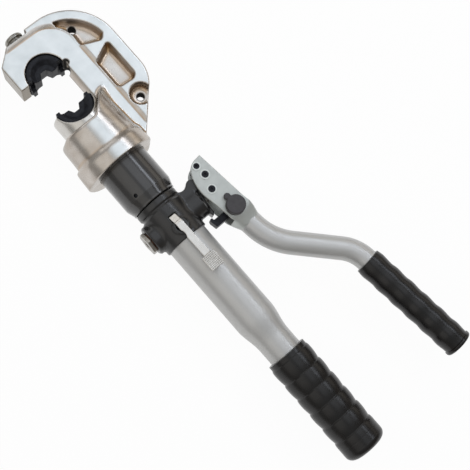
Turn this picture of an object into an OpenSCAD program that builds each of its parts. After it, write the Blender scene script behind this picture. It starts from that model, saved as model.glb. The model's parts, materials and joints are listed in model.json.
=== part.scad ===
// Hand-pumped hydraulic crimping tool with a swivelling C-shaped head.
// The origin is the middle of the fixed die's closing face. +Y runs along the main axis to the
// top of the jaw, +X points to the moving handle, and +Z is up with the tool lying on its side.

/* [Jaw and dies] */
// Radius of the half-round die seats
die_r = 20; // [17:0.5:22]
// Thickness of the dies across the jaw
die_t = 28; // [22:1:30]
// Width across the corners of the hexagonal crimp nest
nest_w = 12.5; // [8:0.5:18]
// Height of the interlocking ears on the dies
ear_h = 3; // [2:0.5:4]
// Width of the interlocking ears on the dies
ear_w = 4; // [3:0.5:5]
// Distance between the die faces with the ram drawn back
jaw_open = 39.5; // [32:0.5:44]
// Distance from the main axis to the free end of the jaw
jaw_reach = 29.5; // [27:0.5:33]
// Height of the button's seat above the closing plane
jaw_h = 43; // [40:0.5:44]

/* [Head frame] */
// Thickness of the flat cheeks around the throat
cheek_t = 30; // [28:0.5:34]
// Distance from the main axis to the outer edge of the cheek band
cheek_x = 42; // [38:0.5:44]
// Height of the cheek band above the closing plane
cheek_h = 38; // [34:0.5:39]
// Corner radius of the cheek band
cheek_r = 26; // [20:1:28]
// How far the rim and ribs stand proud of the cheeks, on each side
rim_step = 2.2; // [1:0.1:4]
// Outer radius of the rim
rim_r = 52.8; // [49:0.1:54]
// Distance from the main axis to the outside of the spine
spine_x = 78.3; // [75:0.1:82]
// Height of the rim's top above the closing plane
rim_h = 47.3; // [45.5:0.1:49]
// Width of the rim around the pockets
rim_w = 9.8; // [7:0.1:11]
// Depth of the pockets below the rim
pocket_depth = 11; // [5:0.5:12]
// Diameter of the two holes through the web
web_hole_d = 7.4; // [5:0.2:9]
// Radius of the collar around the ram
collar_r = 34.7; // [34:0.1:38]
// Distance from the closing plane down to the collar's top
collar_top = 59.8; // [56:0.1:64]
// Radius of the foot flange
flange_r = 40.5; // [39:0.5:43]
// Height of the foot flange
flange_h = 21; // [17:0.5:24]
// Distance from the main axis to the flat on the flange beside the spine
flange_flat = 36; // [35:0.5:40]
// Draft angle on the tops of the collar and the flange, away from the forging's parting plane
forging_draft = 10; // [5:0.5:14]
// Distance from the closing plane down to the foot of the head
head_foot = 112; // [108:0.5:118]

/* [Ram and barrel] */
// Radius of the ram's head
ram_r = 25.5; // [25:0.1:26]
// Length of the ram's head
ram_head_len = 39; // [36:0.5:44]
// Radius of the ram's rod and piston
rod_r = 22; // [20:0.5:22.5]
// Radius of the hollow in the rod
rod_bore_r = 11; // [10.5:0.25:13]
// Outer radius of the barrel
barrel_r = 26.6; // [26.4:0.1:28]
// Length of the barrel below the head's foot
barrel_len = 48; // [46:0.5:56]
// Radius of the barrel's lower lip
barrel_lip_r = 24; // [23.5:0.25:25]
// Radius of the swivel spigot
spigot_r = 12; // [10:0.5:14]
// Length of the swivel spigot
spigot_len = 16; // [15:0.5:17]
// Diameter of the swivel screws
swivel_screw_d = 4; // [3:0.5:5]

/* [Die button] */
// Diameter of the button
button_d = 19.5; // [14:0.5:21]
// Height of the button
button_h = 10.5; // [7:0.5:12]
// Diameter of the button's stem
stem_d = 6; // [5:0.5:7]
// Diameter of the locking pin below the stem
lock_pin_d = 8; // [7:0.5:9]

/* [Pump body] */
// Radius of the pump body's round middle
body_r = 23; // [22.6:0.1:25]
// Distance from the body's top down to the cross boss
cross_drop = 26.6; // [25.5:0.1:29]
// Distance from the cross boss down to the body's lower end
body_tail = 21.1; // [20.5:0.1:24]
// Radius of the cross boss
boss_r = 15.5; // [14.5:0.25:16.5]
// Distance from the main axis to the left end of the cross boss
boss_left = 28; // [26.5:0.5:31]
// Distance from the main axis to the right end of the cross boss
boss_right = 37; // [35:0.25:37.5]
// Width across the flats of the end plug
plug_af = 21.5; // [18:0.5:24]
// Height of the end plug's hexagon
plug_h = 3.8; // [3:0.2:6]
// Diameter of the pump plunger
plunger_d = 13; // [10:0.5:14]
// Diameter of the check valve's ball
ball_d = 8; // [6:0.5:9]

/* [Handle pivot] */
// Distance from the main axis to the handle's pivot pin
pivot_x = 51.5; // [50:0.25:54]
// Height of the pivot pin above the cross boss
pivot_rise = 14.9; // [14.6:0.1:17]
// Distance of the plunger pin from the pivot pin, towards the main axis
crank_x = 4.5; // [3:0.25:6]
// Diameter of the pivot and plunger pins
pin_d = 7; // [6:0.5:7.5]
// Diameter of the stop pin
stop_pin_d = 6; // [5:0.5:6.5]
// Thickness of the pivot lug
lug_t = 25.6; // [20:0.2:26]

/* [Moving handle] */
// Angle between the two handles, as photographed
handle_angle = 6.4; // [5:0.2:12]
// Angle by which the moving handle opens further
handle_open = 42; // [30:1:44]
// Distance between the outsides of the fork's cheeks
fork_t = 34; // [32:0.5:38]
// Thickness of each fork cheek
fork_wall = 3.7; // [3:0.1:4]
// Reach of the fork past the pivot on its outer side
fork_out = 10.5; // [9.5:0.25:12]
// Reach of the fork past the pivot towards the main axis
fork_in = 16; // [14:0.25:18]
// Reach of the fork above the pivot
fork_up = 17; // [16.5:0.25:19]
// Distance from the pivot down to the end of the fork's cheeks
fork_down = 52; // [51.5:0.5:56]
// Outer diameter of the handle's tube
handle_d = 23.6; // [22:0.2:25]
// Wall of the handle's tube
handle_wall = 2; // [1.5:0.25:3]
// Distance from the pivot down to the first bend
bend_start = 67.5; // [64:0.5:72]
// Angle of the handle's two bends
bend_angle = 37.2; // [28:0.2:45]
// Centre-line radius of the first bend
bend_1_r = 62; // [45:1:80]
// Length of the straight between the bends
slant_len = 50; // [35:1:65]
// Centre-line radius of the second bend
bend_2_r = 40.4; // [32:0.2:60]
// Diameter of the moving grip
grip_d = 30; // [28:0.5:34]
// Length of the moving grip
grip_len = 121; // [100:1:140]

/* [Lock] */
// Distance from the pivot down to the lock's axis
lock_down = 41.5; // [40:0.25:43]
// Diameter of the lock knob
knob_d = 19.2; // [17:0.2:22]
// Height of the lock knob
knob_h = 8; // [5:0.5:11]
// Diameter of the lock's shaft
lock_shaft_d = 8; // [6:0.5:9]
// Thickness of the lock's hook
hook_t = 11; // [8:0.5:16]
// Distance from the lock's axis to the hook's tip
hook_len = 25.5; // [25:0.1:25.8]

/* [Release lever] */
// Width of the lever's blade
lever_w = 7.5; // [6:0.25:9]
// Thickness of the lever's blade
lever_t = 2; // [1.5:0.1:2.5]
// Room between the pump body and the lever's blade
lever_room = 3; // [2.5:0.25:6]
// Width of the lever's knurled pad
pad_w = 14.5; // [11:0.5:17]
// Length of the lever's knurled pad
pad_len = 15.5; // [12:0.5:18]
// Distance from the lever's pin to the far end of the pad
lever_len = 63; // [58:0.5:70]

/* [Fixed handle] */
// Outer radius of the reservoir tube
tube_r = 21; // [20:0.1:21.3]
// Wall of the reservoir tube
tube_wall = 1.5; // [1:0.1:2]
// Length of the tube's wide part below the pump body
tube_len = 103; // [90:1:120]
// Length of the swaged cone
swage_len = 17; // [12:1:22]
// Radius of the tube below the cone
neck_r = 17.3; // [15.5:0.1:18]
// Length of bare tube between the cone and the grip
neck_len = 22; // [12:1:30]
// Largest radius of the fixed grip
fixed_grip_r = 22; // [20.5:0.25:24]
// Length of the fixed grip
fixed_grip_len = 117; // [100:1:130]

/* [Hidden] */
$fn = 64;

// Clearances: a running fit, a seated fit, and the gap between bodies that only pass each other
fit = 0.06;
seat = 0.05;
gap = 0.3;
// Overlap of a cut past the face that it opens
cut = 1;
// Faces of a barrel-shaped rib on a grip, and rings in one turn of a coil
rib_steps = 8;
coil_rings = 8;

// Colours as photographed
steel = "gainsboro";
dark_steel = "dimgray";
black = "#26262a";
silver = "silver";
grey_paint = "#b4b9b4";
rubber = "#1c1c1e";

// Heights along the main axis
foot_y = -head_foot;
barrel_y = foot_y - barrel_len;
body_y = barrel_y - gap;
cross_y = body_y - cross_drop;
tail_y = cross_y - body_tail;
swage_y = tail_y - tube_len;
neck_y = swage_y - swage_len;
grip_y = neck_y - neck_len;
end_y = grip_y - fixed_grip_len;

// Head and ram
rim_t = cheek_t + 2 * rim_step;
rim_chamfer = 1.2;
// Run of the slope from the cheeks up to the rim, for each unit of its rise
step_run = 1.8;
rim_c = [spine_x - rim_r, rim_h - rim_r];
cheek_c = [cheek_x - cheek_r, cheek_h - cheek_r];
channel_r = ram_r + fit;
ram_top = -jaw_open - 0.4;
ram_step = ram_top - ram_head_len;
barrel_top = ram_step - gap;
chamber_y = barrel_y + spigot_len + 6;
rod_end = chamber_y + 0.5;
dowel_r = 2.5;
wiper_h = 4;
seal_h = 4;
seal_y = rod_end + 3;
seal_groove = 2.4;
wear_h = 5;
wear_y = rod_end + 9;
wear_groove = 1.5;
plug_r = rod_bore_r - 0.6;
plug_t = 4;
coil_r = 7.9;
coil_wire = 1.2;
coil_spigot = coil_r * cos(180 / coil_rings) - coil_wire - gap;
coil_bottom = chamber_y + plug_t + gap + coil_wire;
coil_top = ram_step - plug_t - gap - coil_wire - 1;
coil_turns = 12;

// Spine of the head: where its sloped foot leaves the round bend, and the two holes in its web
spine_bend_y = -46.5;
spine_bend_r = 35;
slope = 43.5;
slope_dir = [-sin(slope), -cos(slope)];
slope_in = [-cos(slope), sin(slope)];
spine_c = [spine_x - spine_bend_r, spine_bend_y];
slope_p = spine_c - spine_bend_r * slope_in;
web_hole_1 = [spine_x - 30, 21.8];
web_hole_2 = slope_p + 7.9 * slope_in + 9 * slope_dir;
spot_r = 11.3;
// Top of the collar in the parting plane, from its own height: level on the open side, then rising to a
// shoulder beside the spine
shoulder_h = 17.4;
collar_line = [
    [-collar_r - cut, -5.6], [7.7 - collar_r, 0], [2, 0], [8, 0.8], [15, 6.3], [22, 14.3],
    [30, shoulder_h], [collar_r + cut, shoulder_h]
];

// Die button
button_room = 1;
pin_reach = 3.5;
pin_collar_h = 3;
pin_collar_r = lock_pin_d / 2 + 1.6;
spring_room_y = die_r + 7;
bush_t = 4;
bush_r = pin_collar_r + 1.6;

// Handle pivot, pins and fork, with the handle's own frame turned about the pivot
pivot_y = cross_y + pivot_rise;
fork_gap = fork_t - 2 * fork_wall;
boss_step = pivot_x - fork_in - 3;
lug_r = pin_d / 2 + 3.5;
eye_r = pin_d / 2 + 3;
eye_t = 12;
eye_slack = 1;
eye_fit = 0.15;
ring_t = 0.6;
stop_up = lug_r + stop_pin_d / 2 + 1.4;
lock_side = (fork_out - fork_in) / 2;
crank = [
    -crank_x * cos(handle_angle) - pivot_rise * sin(handle_angle),
    crank_x * sin(handle_angle) - pivot_rise * cos(handle_angle)
];
handle_r = handle_d / 2;
bend_1_end = [bend_1_r * (1 - cos(bend_angle)), -bend_start - bend_1_r * sin(bend_angle)];
slant_end = bend_1_end + slant_len * [sin(bend_angle), -cos(bend_angle)];
bend_2_c = slant_end - bend_2_r * [cos(bend_angle), sin(bend_angle)];
handle_end = bend_2_c + [bend_2_r, 0];
grip_lead = 2;
// Faces around the bent tube, and stations along each of its bends
tube_sides = 28;
bend_steps = 8;

// Pump inside
plunger_r = plunger_d / 2;
ball_r = ball_d / 2;
chamber_x = 6;
valve_x = -4;
port_r = 2.2;
ball_x = valve_x - sqrt(ball_r * ball_r - port_r * port_r);
valve_r = ball_r + 0.5;
plug_thread_r = plug_af / 2 - 2;
plug_depth = 7;
gland_r = plunger_r + 4;
gland_len = 8;
washer_t = 0.8;

// Reservoir and grips
socket_len = 6.5;
nipple_r = 11;
nipple_len = 9;
bladder_wall = 1.5;
cap_len = 8;
rib_count = 6;

// Release valve and its lever
lever_pin_y = cross_y + 2;
lever_z = body_r + lever_room;
lever_pin_z = body_r - 4.4;
lever_pin_d = 3;
lever_leg = 5;
valve_stem_r = 2.2;
valve_head_r = 4;
valve_y = tail_y + socket_len + valve_head_r + 1.7;
waist_y = cross_y - 17;
pad_rise = 3;
valve_head_h = 1.8;
valve_floor_z = 13;
valve_spring_wire = 0.5;

// Points on an arc about a centre
function arc(c, r, from, to, n = 10) =
    [for (i = [0:n]) c + r * [cos(from + (to - from) * i / n), sin(from + (to - from) * i / n)]];

// One rounded corner of an outline, as a few points between the two tangent points
function corner(a, b, c, r, n = 5) =
    let (u = (a - b) / norm(a - b), v = (c - b) / norm(c - b))
    let (half = acos(u * v) / 2, m = (u + v) / norm(u + v))
    let (mid = b + m * r / sin(half), p = b + u * r / tan(half), q = b + v * r / tan(half))
    let (d = p - mid, e = q - mid, turn = 180 - 2 * half, side = sign(d.x * e.y - d.y * e.x))
    [for (i = [0:n]) let (t = side * turn * i / n)
        mid + [d.x * cos(t) - d.y * sin(t), d.x * sin(t) + d.y * cos(t)]];

// An outline with rounded corners
function rounded(pts, radii) =
    let (n = len(pts))
    [for (i = [0:n - 1]) each corner(pts[(i + n - 1) % n], pts[i], pts[(i + 1) % n], radii[i])];

// Profile of a ribbed grip: [radius, distance from the top], with barrel-shaped ribs
function ribs(r, dip, from, pitch, count) =
    [for (i = [0:count - 1]) for (k = [0:rib_steps])
        let (t = k / rib_steps) [r - dip * pow(abs(2 * t - 1), 4), from + (i + t * 0.98) * pitch]];

// Centre line of a coil, and the least gap between its turns measured on those points
function coil_line(r, pitch, turns) =
    [for (i = [0:coil_rings * turns]) let (a = 360 * i / coil_rings)
        [r * cos(a), r * sin(a), pitch * i / coil_rings]];
function coil_gap(line, wire) =
    min([for (i = [0:len(line) - 1]) for (j = [i + 5:1:min(i + 12, len(line) - 1)])
        norm(line[i] - line[j])]) - 2 * wire;

module along_y() { rotate([-90, 0, 0]) children(); }
module along_x() { rotate([0, 90, 0]) children(); }
module in_handle() { translate([pivot_x, pivot_y, 0]) rotate(handle_angle) children(); }

// A round rod along Y between two heights
module rod_y(r, y0, y1) { translate([0, y0, 0]) along_y() cylinder(h = y1 - y0, r = r); }
// A round rod along X between two distances, on the cross boss's axis
module rod_x(r, x0, x1) { translate([x0, cross_y, 0]) along_x() cylinder(h = x1 - x0, r = r); }
// A round rod along Z, centred on the middle plane
module rod_z(p, r, t) { translate([p.x, p.y, -t / 2]) cylinder(h = t, r = r); }
// A ring along Y
module ring_y(r_out, r_in, y0, y1) {
    difference() {
        rod_y(r_out, y0, y1);
        rod_y(r_in, y0 - cut, y1 + cut);
    }
}
// A block from corner to corner
module block(a, b) { translate(a) cube(b - a); }
// A plate of an outline, centred on the middle plane
module plate(pts, t) { translate([0, 0, -t / 2]) linear_extrude(t) polygon(pts); }

// A wire coil along Z, as one unbroken tube
module coil(r, wire, pitch, turns) {
    line = coil_line(r, pitch, turns);
    n = len(line);
    rise = atan(pitch / (2 * PI * r));
    pts = [for (i = [0:n - 1]) for (k = [0:5])
        let (a = 360 * i / coil_rings, out = [cos(a), sin(a), 0])
        let (up = [sin(a) * sin(rise), -cos(a) * sin(rise), cos(rise)])
        line[i] + wire * (cos(60 * k) * out + sin(60 * k) * up)];
    sides = [for (i = [0:n - 2]) for (k = [0:5])
        let (a = 6 * i + k, b = 6 * i + (k + 1) % 6) each [[a, a + 6, b], [b, a + 6, b + 6]]];
    ends = [for (k = [1:4]) each [[0, k, k + 1], [6 * n - 6, 6 * n - 6 + k + 1, 6 * n - 6 + k]]];
    polyhedron(pts, concat(sides, ends));
    echo(least_gap = coil_gap(line, wire));
}

// Edge of the rim from face to face: [inset, height], with the chamfers run on past both faces
function rim_edge() =
    let (h = rim_t / 2, in = rim_chamfer + cut)
    [[in, -h - cut], [0, rim_chamfer - h], [0, h - rim_chamfer], [in, h + cut]];
// Disc in the head's plane with chamfered edges
module rim_disc(c, r) {
    h = rim_t / 2 + cut;
    translate([c.x, c.y, 0]) rotate_extrude()
        polygon(concat([[0, -h]], [for (e = rim_edge()) [r - e.x, e.y]], [[0, h]]));
}
// Bar in the head's plane: it runs down from a point, with chamfers on its +X edge
module rim_bar(p, turn, w, l) {
    h = rim_t / 2 + cut;
    translate([p.x, p.y, 0]) rotate(turn) rotate([90, 0, 0]) linear_extrude(l)
        polygon(concat([[-w, -h]], [for (e = rim_edge()) [-e.x, e.y]], [[-w, h]]));
}
// The head's solid outline, trimmed to the rim's thickness
module rim_plate() {
    difference() {
        union() {
            rim_disc(rim_c, rim_r);
            rim_disc(spine_c, spine_bend_r);
            rim_bar([spine_x, rim_c.y], 0, spine_x - 20, rim_c.y - spine_bend_y);
            rim_bar(slope_p, -slope, 42, 55);
            plate([[-jaw_reach, 0], [rim_c.x, 0], [rim_c.x, rim_h], [21.1 - jaw_reach, rim_h],
                   [-jaw_reach, rim_h - 17.1]], rim_t + 2 * cut);
        }
        for (side = [0, 1]) mirror([0, 0, side])
            block([-2 * jaw_reach, 2 * foot_y, rim_t / 2], [2 * spine_x, 2 * rim_h, rim_t]);
    }
}
// Relief that lays the cheek band below the rim, with a sloped edge
module cheek_relief() {
    z = cheek_t / 2;
    top = rim_t / 2 + cut;
    run = step_run * (top - z);
    translate([0, cheek_c.y, 0]) rotate([90, 0, 0]) linear_extrude(head_foot + cheek_c.y)
        polygon([[-jaw_reach - cut, z], [cheek_x, z], [cheek_x + run, top], [-jaw_reach - cut, top]]);
    translate([cheek_c.x, 0, 0]) rotate([0, -90, 0]) linear_extrude(cheek_c.x + jaw_reach + cut)
        polygon([[z, -head_foot], [z, cheek_h], [top, cheek_h + run], [top, -head_foot]]);
    translate([cheek_c.x, cheek_c.y, z]) cylinder(h = top - z, r1 = cheek_r, r2 = cheek_r + run);
}
// The two pockets and the spotface on one face, down to the web
module pockets() {
    web_z = rim_t / 2 - pocket_depth;
    edge = cheek_x + 1.2;
    far = spine_x - rim_w - 2;
    translate([0, 0, web_z]) {
        difference() {
            intersection() {
                translate([rim_c.x, rim_c.y, 0]) cylinder(h = rim_t, r = rim_r - rim_w);
                linear_extrude(rim_t) polygon(rounded(
                    [[edge - 6.7, rim_h], [edge - 6.7, cheek_c.y], [edge, cheek_c.y], [edge, 1.5],
                     [far - 3.5, -7.2], [far + 3.5, 0.6], [far + 3.5, rim_h]],
                    [0.5, 0.5, 0.1, 2, 3, 0.5, 0.5]));
            }
            translate([cheek_c.x, cheek_c.y, -cut]) cylinder(h = rim_t + 2 * cut, r = cheek_r + 1.5);
        }
        linear_extrude(rim_t) polygon(rounded(
            [[edge + 0.6, -21], [far, -10.5], [far, -48], [far - 7.3, -57.5], [edge + 0.6, -54.5]],
            [2, 3, 7, 5, 4]));
        translate([web_hole_2.x, web_hole_2.y, 0]) cylinder(h = rim_t, r = spot_r);
    }
}
// Everything above a line in the parting plane, falling away on both sides of it by the draft
module draft_cut(line, y) {
    over = 2 * flange_r;
    for (side = [-1, 1]) translate([0, y, 0]) rotate([side * forging_draft, 0, 0])
        translate([0, 0, -over]) linear_extrude(2 * over)
            polygon(concat(line, [[over, over], [-over, over]]));
}
// Collar with the shoulder that backs the ram beside the spine, and the foot flange
module collar() {
    difference() {
        rod_y(collar_r, foot_y + 1, shoulder_h + 1 - collar_top);
        draft_cut(collar_line, -collar_top);
    }
    difference() {
        along_y() rotate_extrude() polygon([
            [0, foot_y], [flange_r - 1, foot_y], [flange_r, foot_y + 1],
            [flange_r - 1, foot_y + flange_h - 3], [flange_r - 3, foot_y + flange_h + cut],
            [0, foot_y + flange_h + cut]]);
        draft_cut([[-2 * flange_r, 0], [2 * flange_r, 0]], foot_y + flange_h);
        block([flange_flat, foot_y - cut, -flange_r], [flange_r + cut, foot_y + 2 * flange_h, flange_r]);
    }
}
module c_head() {
    color(steel) difference() {
        union() {
            difference() {
                rim_plate();
                cheek_relief();
                mirror([0, 0, 1]) cheek_relief();
                pockets();
                mirror([0, 0, 1]) pockets();
                block([-jaw_reach - cut, -collar_top - 4, -rim_t], [4, 0, rim_t]);
            }
            collar();
        }
        rod_y(channel_r, barrel_top - cut, 0);
        rod_y(barrel_r + seat, foot_y - cut, barrel_top);
        rod_z([0, 0], die_r + seat, rim_t + 2);
        rod_z([die_r + 1.5, -2.5], 3.2, 3 * collar_r);
        rod_z(web_hole_1, web_hole_d / 2, rim_t + 2);
        rod_z(web_hole_2, web_hole_d / 2, rim_t + 2);
        block([-jaw_reach - cut, jaw_h, -rim_t], [button_d / 2 + button_room, rim_h + cut, rim_t]);
        rod_y(lock_pin_d / 2 + fit, 0, jaw_h);
        rod_y(bush_r + seat, spring_room_y, jaw_h + cut);
    }
}

// Half-round die seen from its closing face: nest upwards, ears below on the back half
module die() {
    r = die_r - seat;
    ear_x = r - ear_w - 1.2;
    chamfer = 1.4;
    recess = 4;
    recess_r = ear_x - 2 * gap;
    half_hex = [[-nest_w / 2, -cut], [nest_w / 2, -cut], [nest_w / 2, 0],
                [nest_w / 4, nest_w * sqrt(3) / 4], [-nest_w / 4, nest_w * sqrt(3) / 4], [-nest_w / 2, 0]];
    difference() {
        intersection() {
            rotate_extrude() polygon([
                [0, -die_t / 2], [r - chamfer, -die_t / 2], [r, chamfer - die_t / 2],
                [r, die_t / 2 - chamfer], [r - chamfer, die_t / 2], [0, die_t / 2]]);
            block([-r - cut, 0, -die_t], [r + cut, r + cut, die_t]);
        }
        plate(half_hex, die_t + 2);
        for (side = [0, 1]) mirror([0, 0, side]) translate([0, 0, die_t / 2 - recess])
            cylinder(h = recess + cut, r1 = recess_r - recess / 2, r2 = recess_r + cut / 2);
        for (side = [0, 1]) mirror([side, 0, 0])
            block([ear_x - gap, -cut, -gap], [ear_x + ear_w + gap, ear_h + gap, die_t]);
    }
    for (side = [0, 1]) mirror([side, 0, 0])
        block([ear_x, -ear_h, -die_t / 2 + 1.4], [ear_x + ear_w, 2, -gap]);
}
module fixed_die() {
    color(dark_steel) difference() {
        die();
        rod_y(lock_pin_d / 2 + 0.1, die_r - pin_reach - gap, die_r + cut);
    }
}
module moving_die() {
    color(dark_steel) difference() {
        translate([0, -jaw_open, 0]) rotate([180, 0, 0]) die();
        rod_y(dowel_r + seat, -jaw_open - die_r - cut, -jaw_open - die_r + 3.2);
    }
}
module die_dowel() {
    color(steel) rod_y(dowel_r, -jaw_open - die_r - 6, -jaw_open - die_r + 3);
}

module die_button() {
    top = jaw_h + gap;
    r = button_d / 2;
    color(dark_steel) {
        difference() {
            along_y() rotate_extrude() polygon([
                [0, top], [r - 1.5, top], [r - 0.5, top + 1.5], [r, top + button_h * 0.55],
                [r, top + button_h - 2.5], [r - 2.5, top + button_h], [0, top + button_h]]);
            for (side = [-1, 1]) translate([0, top + button_h * 0.4, side * r])
                rotate([0, 90, 0]) cylinder(h = r, r = 1.8, center = true);
        }
        rod_y(stem_d / 2, spring_room_y, top + 1);
        rod_y(pin_collar_r, spring_room_y + fit, spring_room_y + pin_collar_h);
        rod_y(lock_pin_d / 2, die_r - pin_reach, spring_room_y + 1);
    }
}
module button_bush() {
    color(dark_steel) ring_y(bush_r, stem_d / 2 + fit, jaw_h - bush_t, jaw_h);
}
module button_spring() {
    wire = 0.55;
    low = spring_room_y + pin_collar_h + wire + 0.1;
    high = jaw_h - bush_t - wire - 0.1;
    color(steel) translate([0, low, 0]) along_y()
        coil(stem_d / 2 + wire + 0.5, wire, (high - low) / 4, 4);
}

module ram() {
    color(steel) difference() {
        along_y() rotate_extrude() polygon([
            [rod_bore_r, rod_end], [rod_r - 1, rod_end], [rod_r, rod_end + 1], [rod_r, ram_step],
            [ram_r, ram_step], [ram_r, ram_top - 1.5], [ram_r - 1.5, ram_top], [0, ram_top],
            [0, ram_step + 2], [rod_bore_r, ram_step + 2]]);
        translate([0, -jaw_open, 0]) rod_z([0, 0], die_r + seat, 3 * ram_r);
        rod_y(dowel_r + seat, -jaw_open - die_r - 6.2, -jaw_open);
        ring_y(rod_r + cut, rod_r - seal_groove, seal_y, seal_y + seal_h);
        ring_y(rod_r + cut, rod_r - wear_groove, wear_y, wear_y + wear_h);
    }
}
module piston_seal() {
    color(rubber) ring_y(rod_r + fit / 2, rod_r - seal_groove + seat, seal_y + seat, seal_y + seal_h - seat);
}
module wear_ring() {
    color("tan") ring_y(rod_r + fit / 2, rod_r - wear_groove + seat, wear_y + seat, wear_y + wear_h - seat);
}
module spring_top_plug() {
    color(dark_steel) {
        rod_y(rod_bore_r - seat, ram_step + 2 - plug_t, ram_step + 2);
        rod_y(coil_spigot, ram_step + 2 - plug_t - 8, ram_step + 2 - plug_t + 1);
    }
}
module spring_bottom_plug() {
    color(dark_steel) difference() {
        union() {
            rod_y(plug_r, chamber_y, chamber_y + plug_t);
            rod_y(coil_spigot, chamber_y + 1, chamber_y + plug_t + 8);
        }
        rod_y(1.5, chamber_y - cut, chamber_y + plug_t + 9);
    }
}
module return_spring() {
    color(steel) translate([0, coil_bottom, 0]) along_y()
        coil(coil_r, coil_wire, (coil_top - coil_bottom) / coil_turns, coil_turns);
}

// Swivel screws sit in two radial holes; the first faces up and to the left
module swivel_holes(r, from, to) {
    for (turn = [0, 180]) rotate([0, turn - 31, 0]) translate([0, barrel_y + spigot_len - 3, from])
        cylinder(h = to - from, r = r);
}
module barrel() {
    color(black) difference() {
        along_y() rotate_extrude() polygon([
            [0, barrel_y], [barrel_lip_r - 0.6, barrel_y], [barrel_lip_r, barrel_y + 0.6],
            [barrel_lip_r, barrel_y + 2.2], [barrel_r, barrel_y + 10], [barrel_r, barrel_top],
            [0, barrel_top]]);
        rod_y(rod_r + fit, chamber_y, barrel_top + cut);
        rod_y(rod_r + 2, barrel_top - wiper_h, barrel_top + cut);
        rod_y(spigot_r + fit, barrel_y - cut, barrel_y + spigot_len + gap);
        rod_y(1.5, barrel_y, chamber_y + cut);
        swivel_holes(swivel_screw_d / 2 + seat, 0, 2 * barrel_r);
    }
}
module swivel_screws() {
    color(dark_steel) swivel_holes(swivel_screw_d / 2, spigot_r - 0.9, barrel_r - 2.2);
}
module rod_wiper() {
    color(rubber) ring_y(rod_r + 2 - seat, rod_r + fit, barrel_top - wiper_h + seat, barrel_top - seat);
}

// Room that the stop pin sweeps above the lug as the handle opens
module stop_sweep() {
    to = handle_angle + handle_open + asin((stop_pin_d / 2 + gap) / stop_up);
    r = stop_up + stop_pin_d / 2 + gap;
    translate([pivot_x, pivot_y, 0]) intersection() {
        rod_z([0, 0], r, lug_t + 2);
        plate([[0, 0], [0, 2 * r], 2 * r * [-sin(to), cos(to)]], lug_t + 2);
    }
}
// Lug that carries the pivot pin, with the horn that stops the handle and a hollow beside the neck
module pivot_lug() {
    top = pivot_y + lug_r - 0.5;
    difference() {
        plate([[14, top], [44, top], [pivot_x, pivot_y + lug_r], [pivot_x, pivot_y - lug_r],
               [boss_right - 1, pivot_y - lug_r], [14, cross_y]], lug_t);
        rod_z([body_r + 3, top + 4], 8.3, lug_t + 2);
        stop_sweep();
    }
    rod_z([pivot_x, pivot_y], lug_r, lug_t);
}
// Catch tooth for the lock's hook, under the right end of the boss
module catch_tooth() {
    y = cross_y - boss_r;
    plate([[boss_right - 5.5, y + 5], [boss_right, y + 8], [boss_right, y - 1],
           [boss_right - 2.4, y - 3.9], [boss_right - 3.4, y - 3.9]], lug_t / 2);
}
module pump_body() {
    color(black) difference() {
        union() {
            along_y() rotate_extrude() polygon([
                [0, tail_y], [body_r - 0.6, tail_y], [body_r, tail_y + 0.6], [body_r, body_y - 11],
                [body_r - 1.4, body_y - 9], [body_r - 1.4, body_y - 8], [body_r, body_y - 6.5],
                [body_r, body_y - 0.8], [body_r - 0.8, body_y], [0, body_y]]);
            rod_y(spigot_r, body_y - 1, barrel_y + spigot_len);
            translate([0, cross_y, 0]) along_x() rotate_extrude() polygon([
                [0, -boss_left], [boss_r - 1.2, -boss_left], [boss_r, 1.2 - boss_left],
                [boss_r, boss_step], [lug_t / 2, boss_step + 2], [lug_t / 2, boss_right - 0.6],
                [lug_t / 2 - 0.6, boss_right], [0, boss_right]]);
            rod_y(nipple_r, tail_y + socket_len - nipple_len, tail_y + 1);
            pivot_lug();
            catch_tooth();
            translate([0, valve_y, 0]) cylinder(h = body_r + 0.6, r = valve_head_r + 3);
        }
        rod_z([pivot_x, pivot_y], pin_d / 2 + fit, lug_t + 2);
        rod_x(plunger_r + fit, chamber_x, boss_right + cut);
        rod_x(gland_r + seat, boss_right - gland_len, boss_right + cut);
        rod_x(plunger_r + 2.5, boss_right - gland_len - 4, boss_right);
        rod_x(port_r, valve_x - 1, chamber_x + 1);
        rod_x(valve_r, -boss_left - cut, valve_x);
        rod_x(plug_thread_r + seat, -boss_left - cut, plug_depth - boss_left + gap);
        translate([-8, 0, 0]) rod_y(1.5, cross_y, barrel_y + spigot_len + cut);
        ring_y(spigot_r + cut, spigot_r - 1.6, barrel_y + spigot_len - 5.3, barrel_y + spigot_len - 0.7);
        ring_y(spigot_r + cut, spigot_r - 2, barrel_y + 4, barrel_y + 7);
        ring_y(tube_r + seat, nipple_r, tail_y - nipple_len, tail_y + socket_len);
        rod_y(3, tail_y - nipple_len, cross_y - plunger_r - 1);
        translate([0, valve_y, valve_floor_z]) cylinder(h = body_r, r = valve_head_r + 0.4);
        translate([0, valve_y, 4]) cylinder(h = body_r, r = valve_stem_r + fit);
        block([-lever_w / 2 - gap, lever_pin_y - lever_leg / 2 - 2, lever_pin_z - lever_leg / 2 - 1],
              [lever_w / 2 + gap, lever_pin_y + lever_leg / 2 + 2, body_r + cut]);
        translate([0, lever_pin_y, lever_pin_z]) along_x()
            cylinder(h = 2 * (lever_w / 2 + 5), r = lever_pin_d / 2, center = true);
    }
}
module swivel_seal() {
    color(rubber) translate([0, barrel_y + 5.5, 0]) along_y() rotate_extrude()
        translate([spigot_r - 2 + seat + 0.98, 0]) circle(r = 0.98);
}
module hex_plug() {
    color(dark_steel) {
        difference() {
            rod_x(plug_thread_r, -boss_left - washer_t - 1, plug_depth - boss_left);
            rod_x(3, plug_depth - boss_left - 3, plug_depth - boss_left + cut);
        }
        translate([-boss_left - washer_t - plug_h, cross_y, 0]) along_x()
            cylinder(h = plug_h, r = plug_af / sqrt(3), $fn = 6);
    }
}
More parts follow.
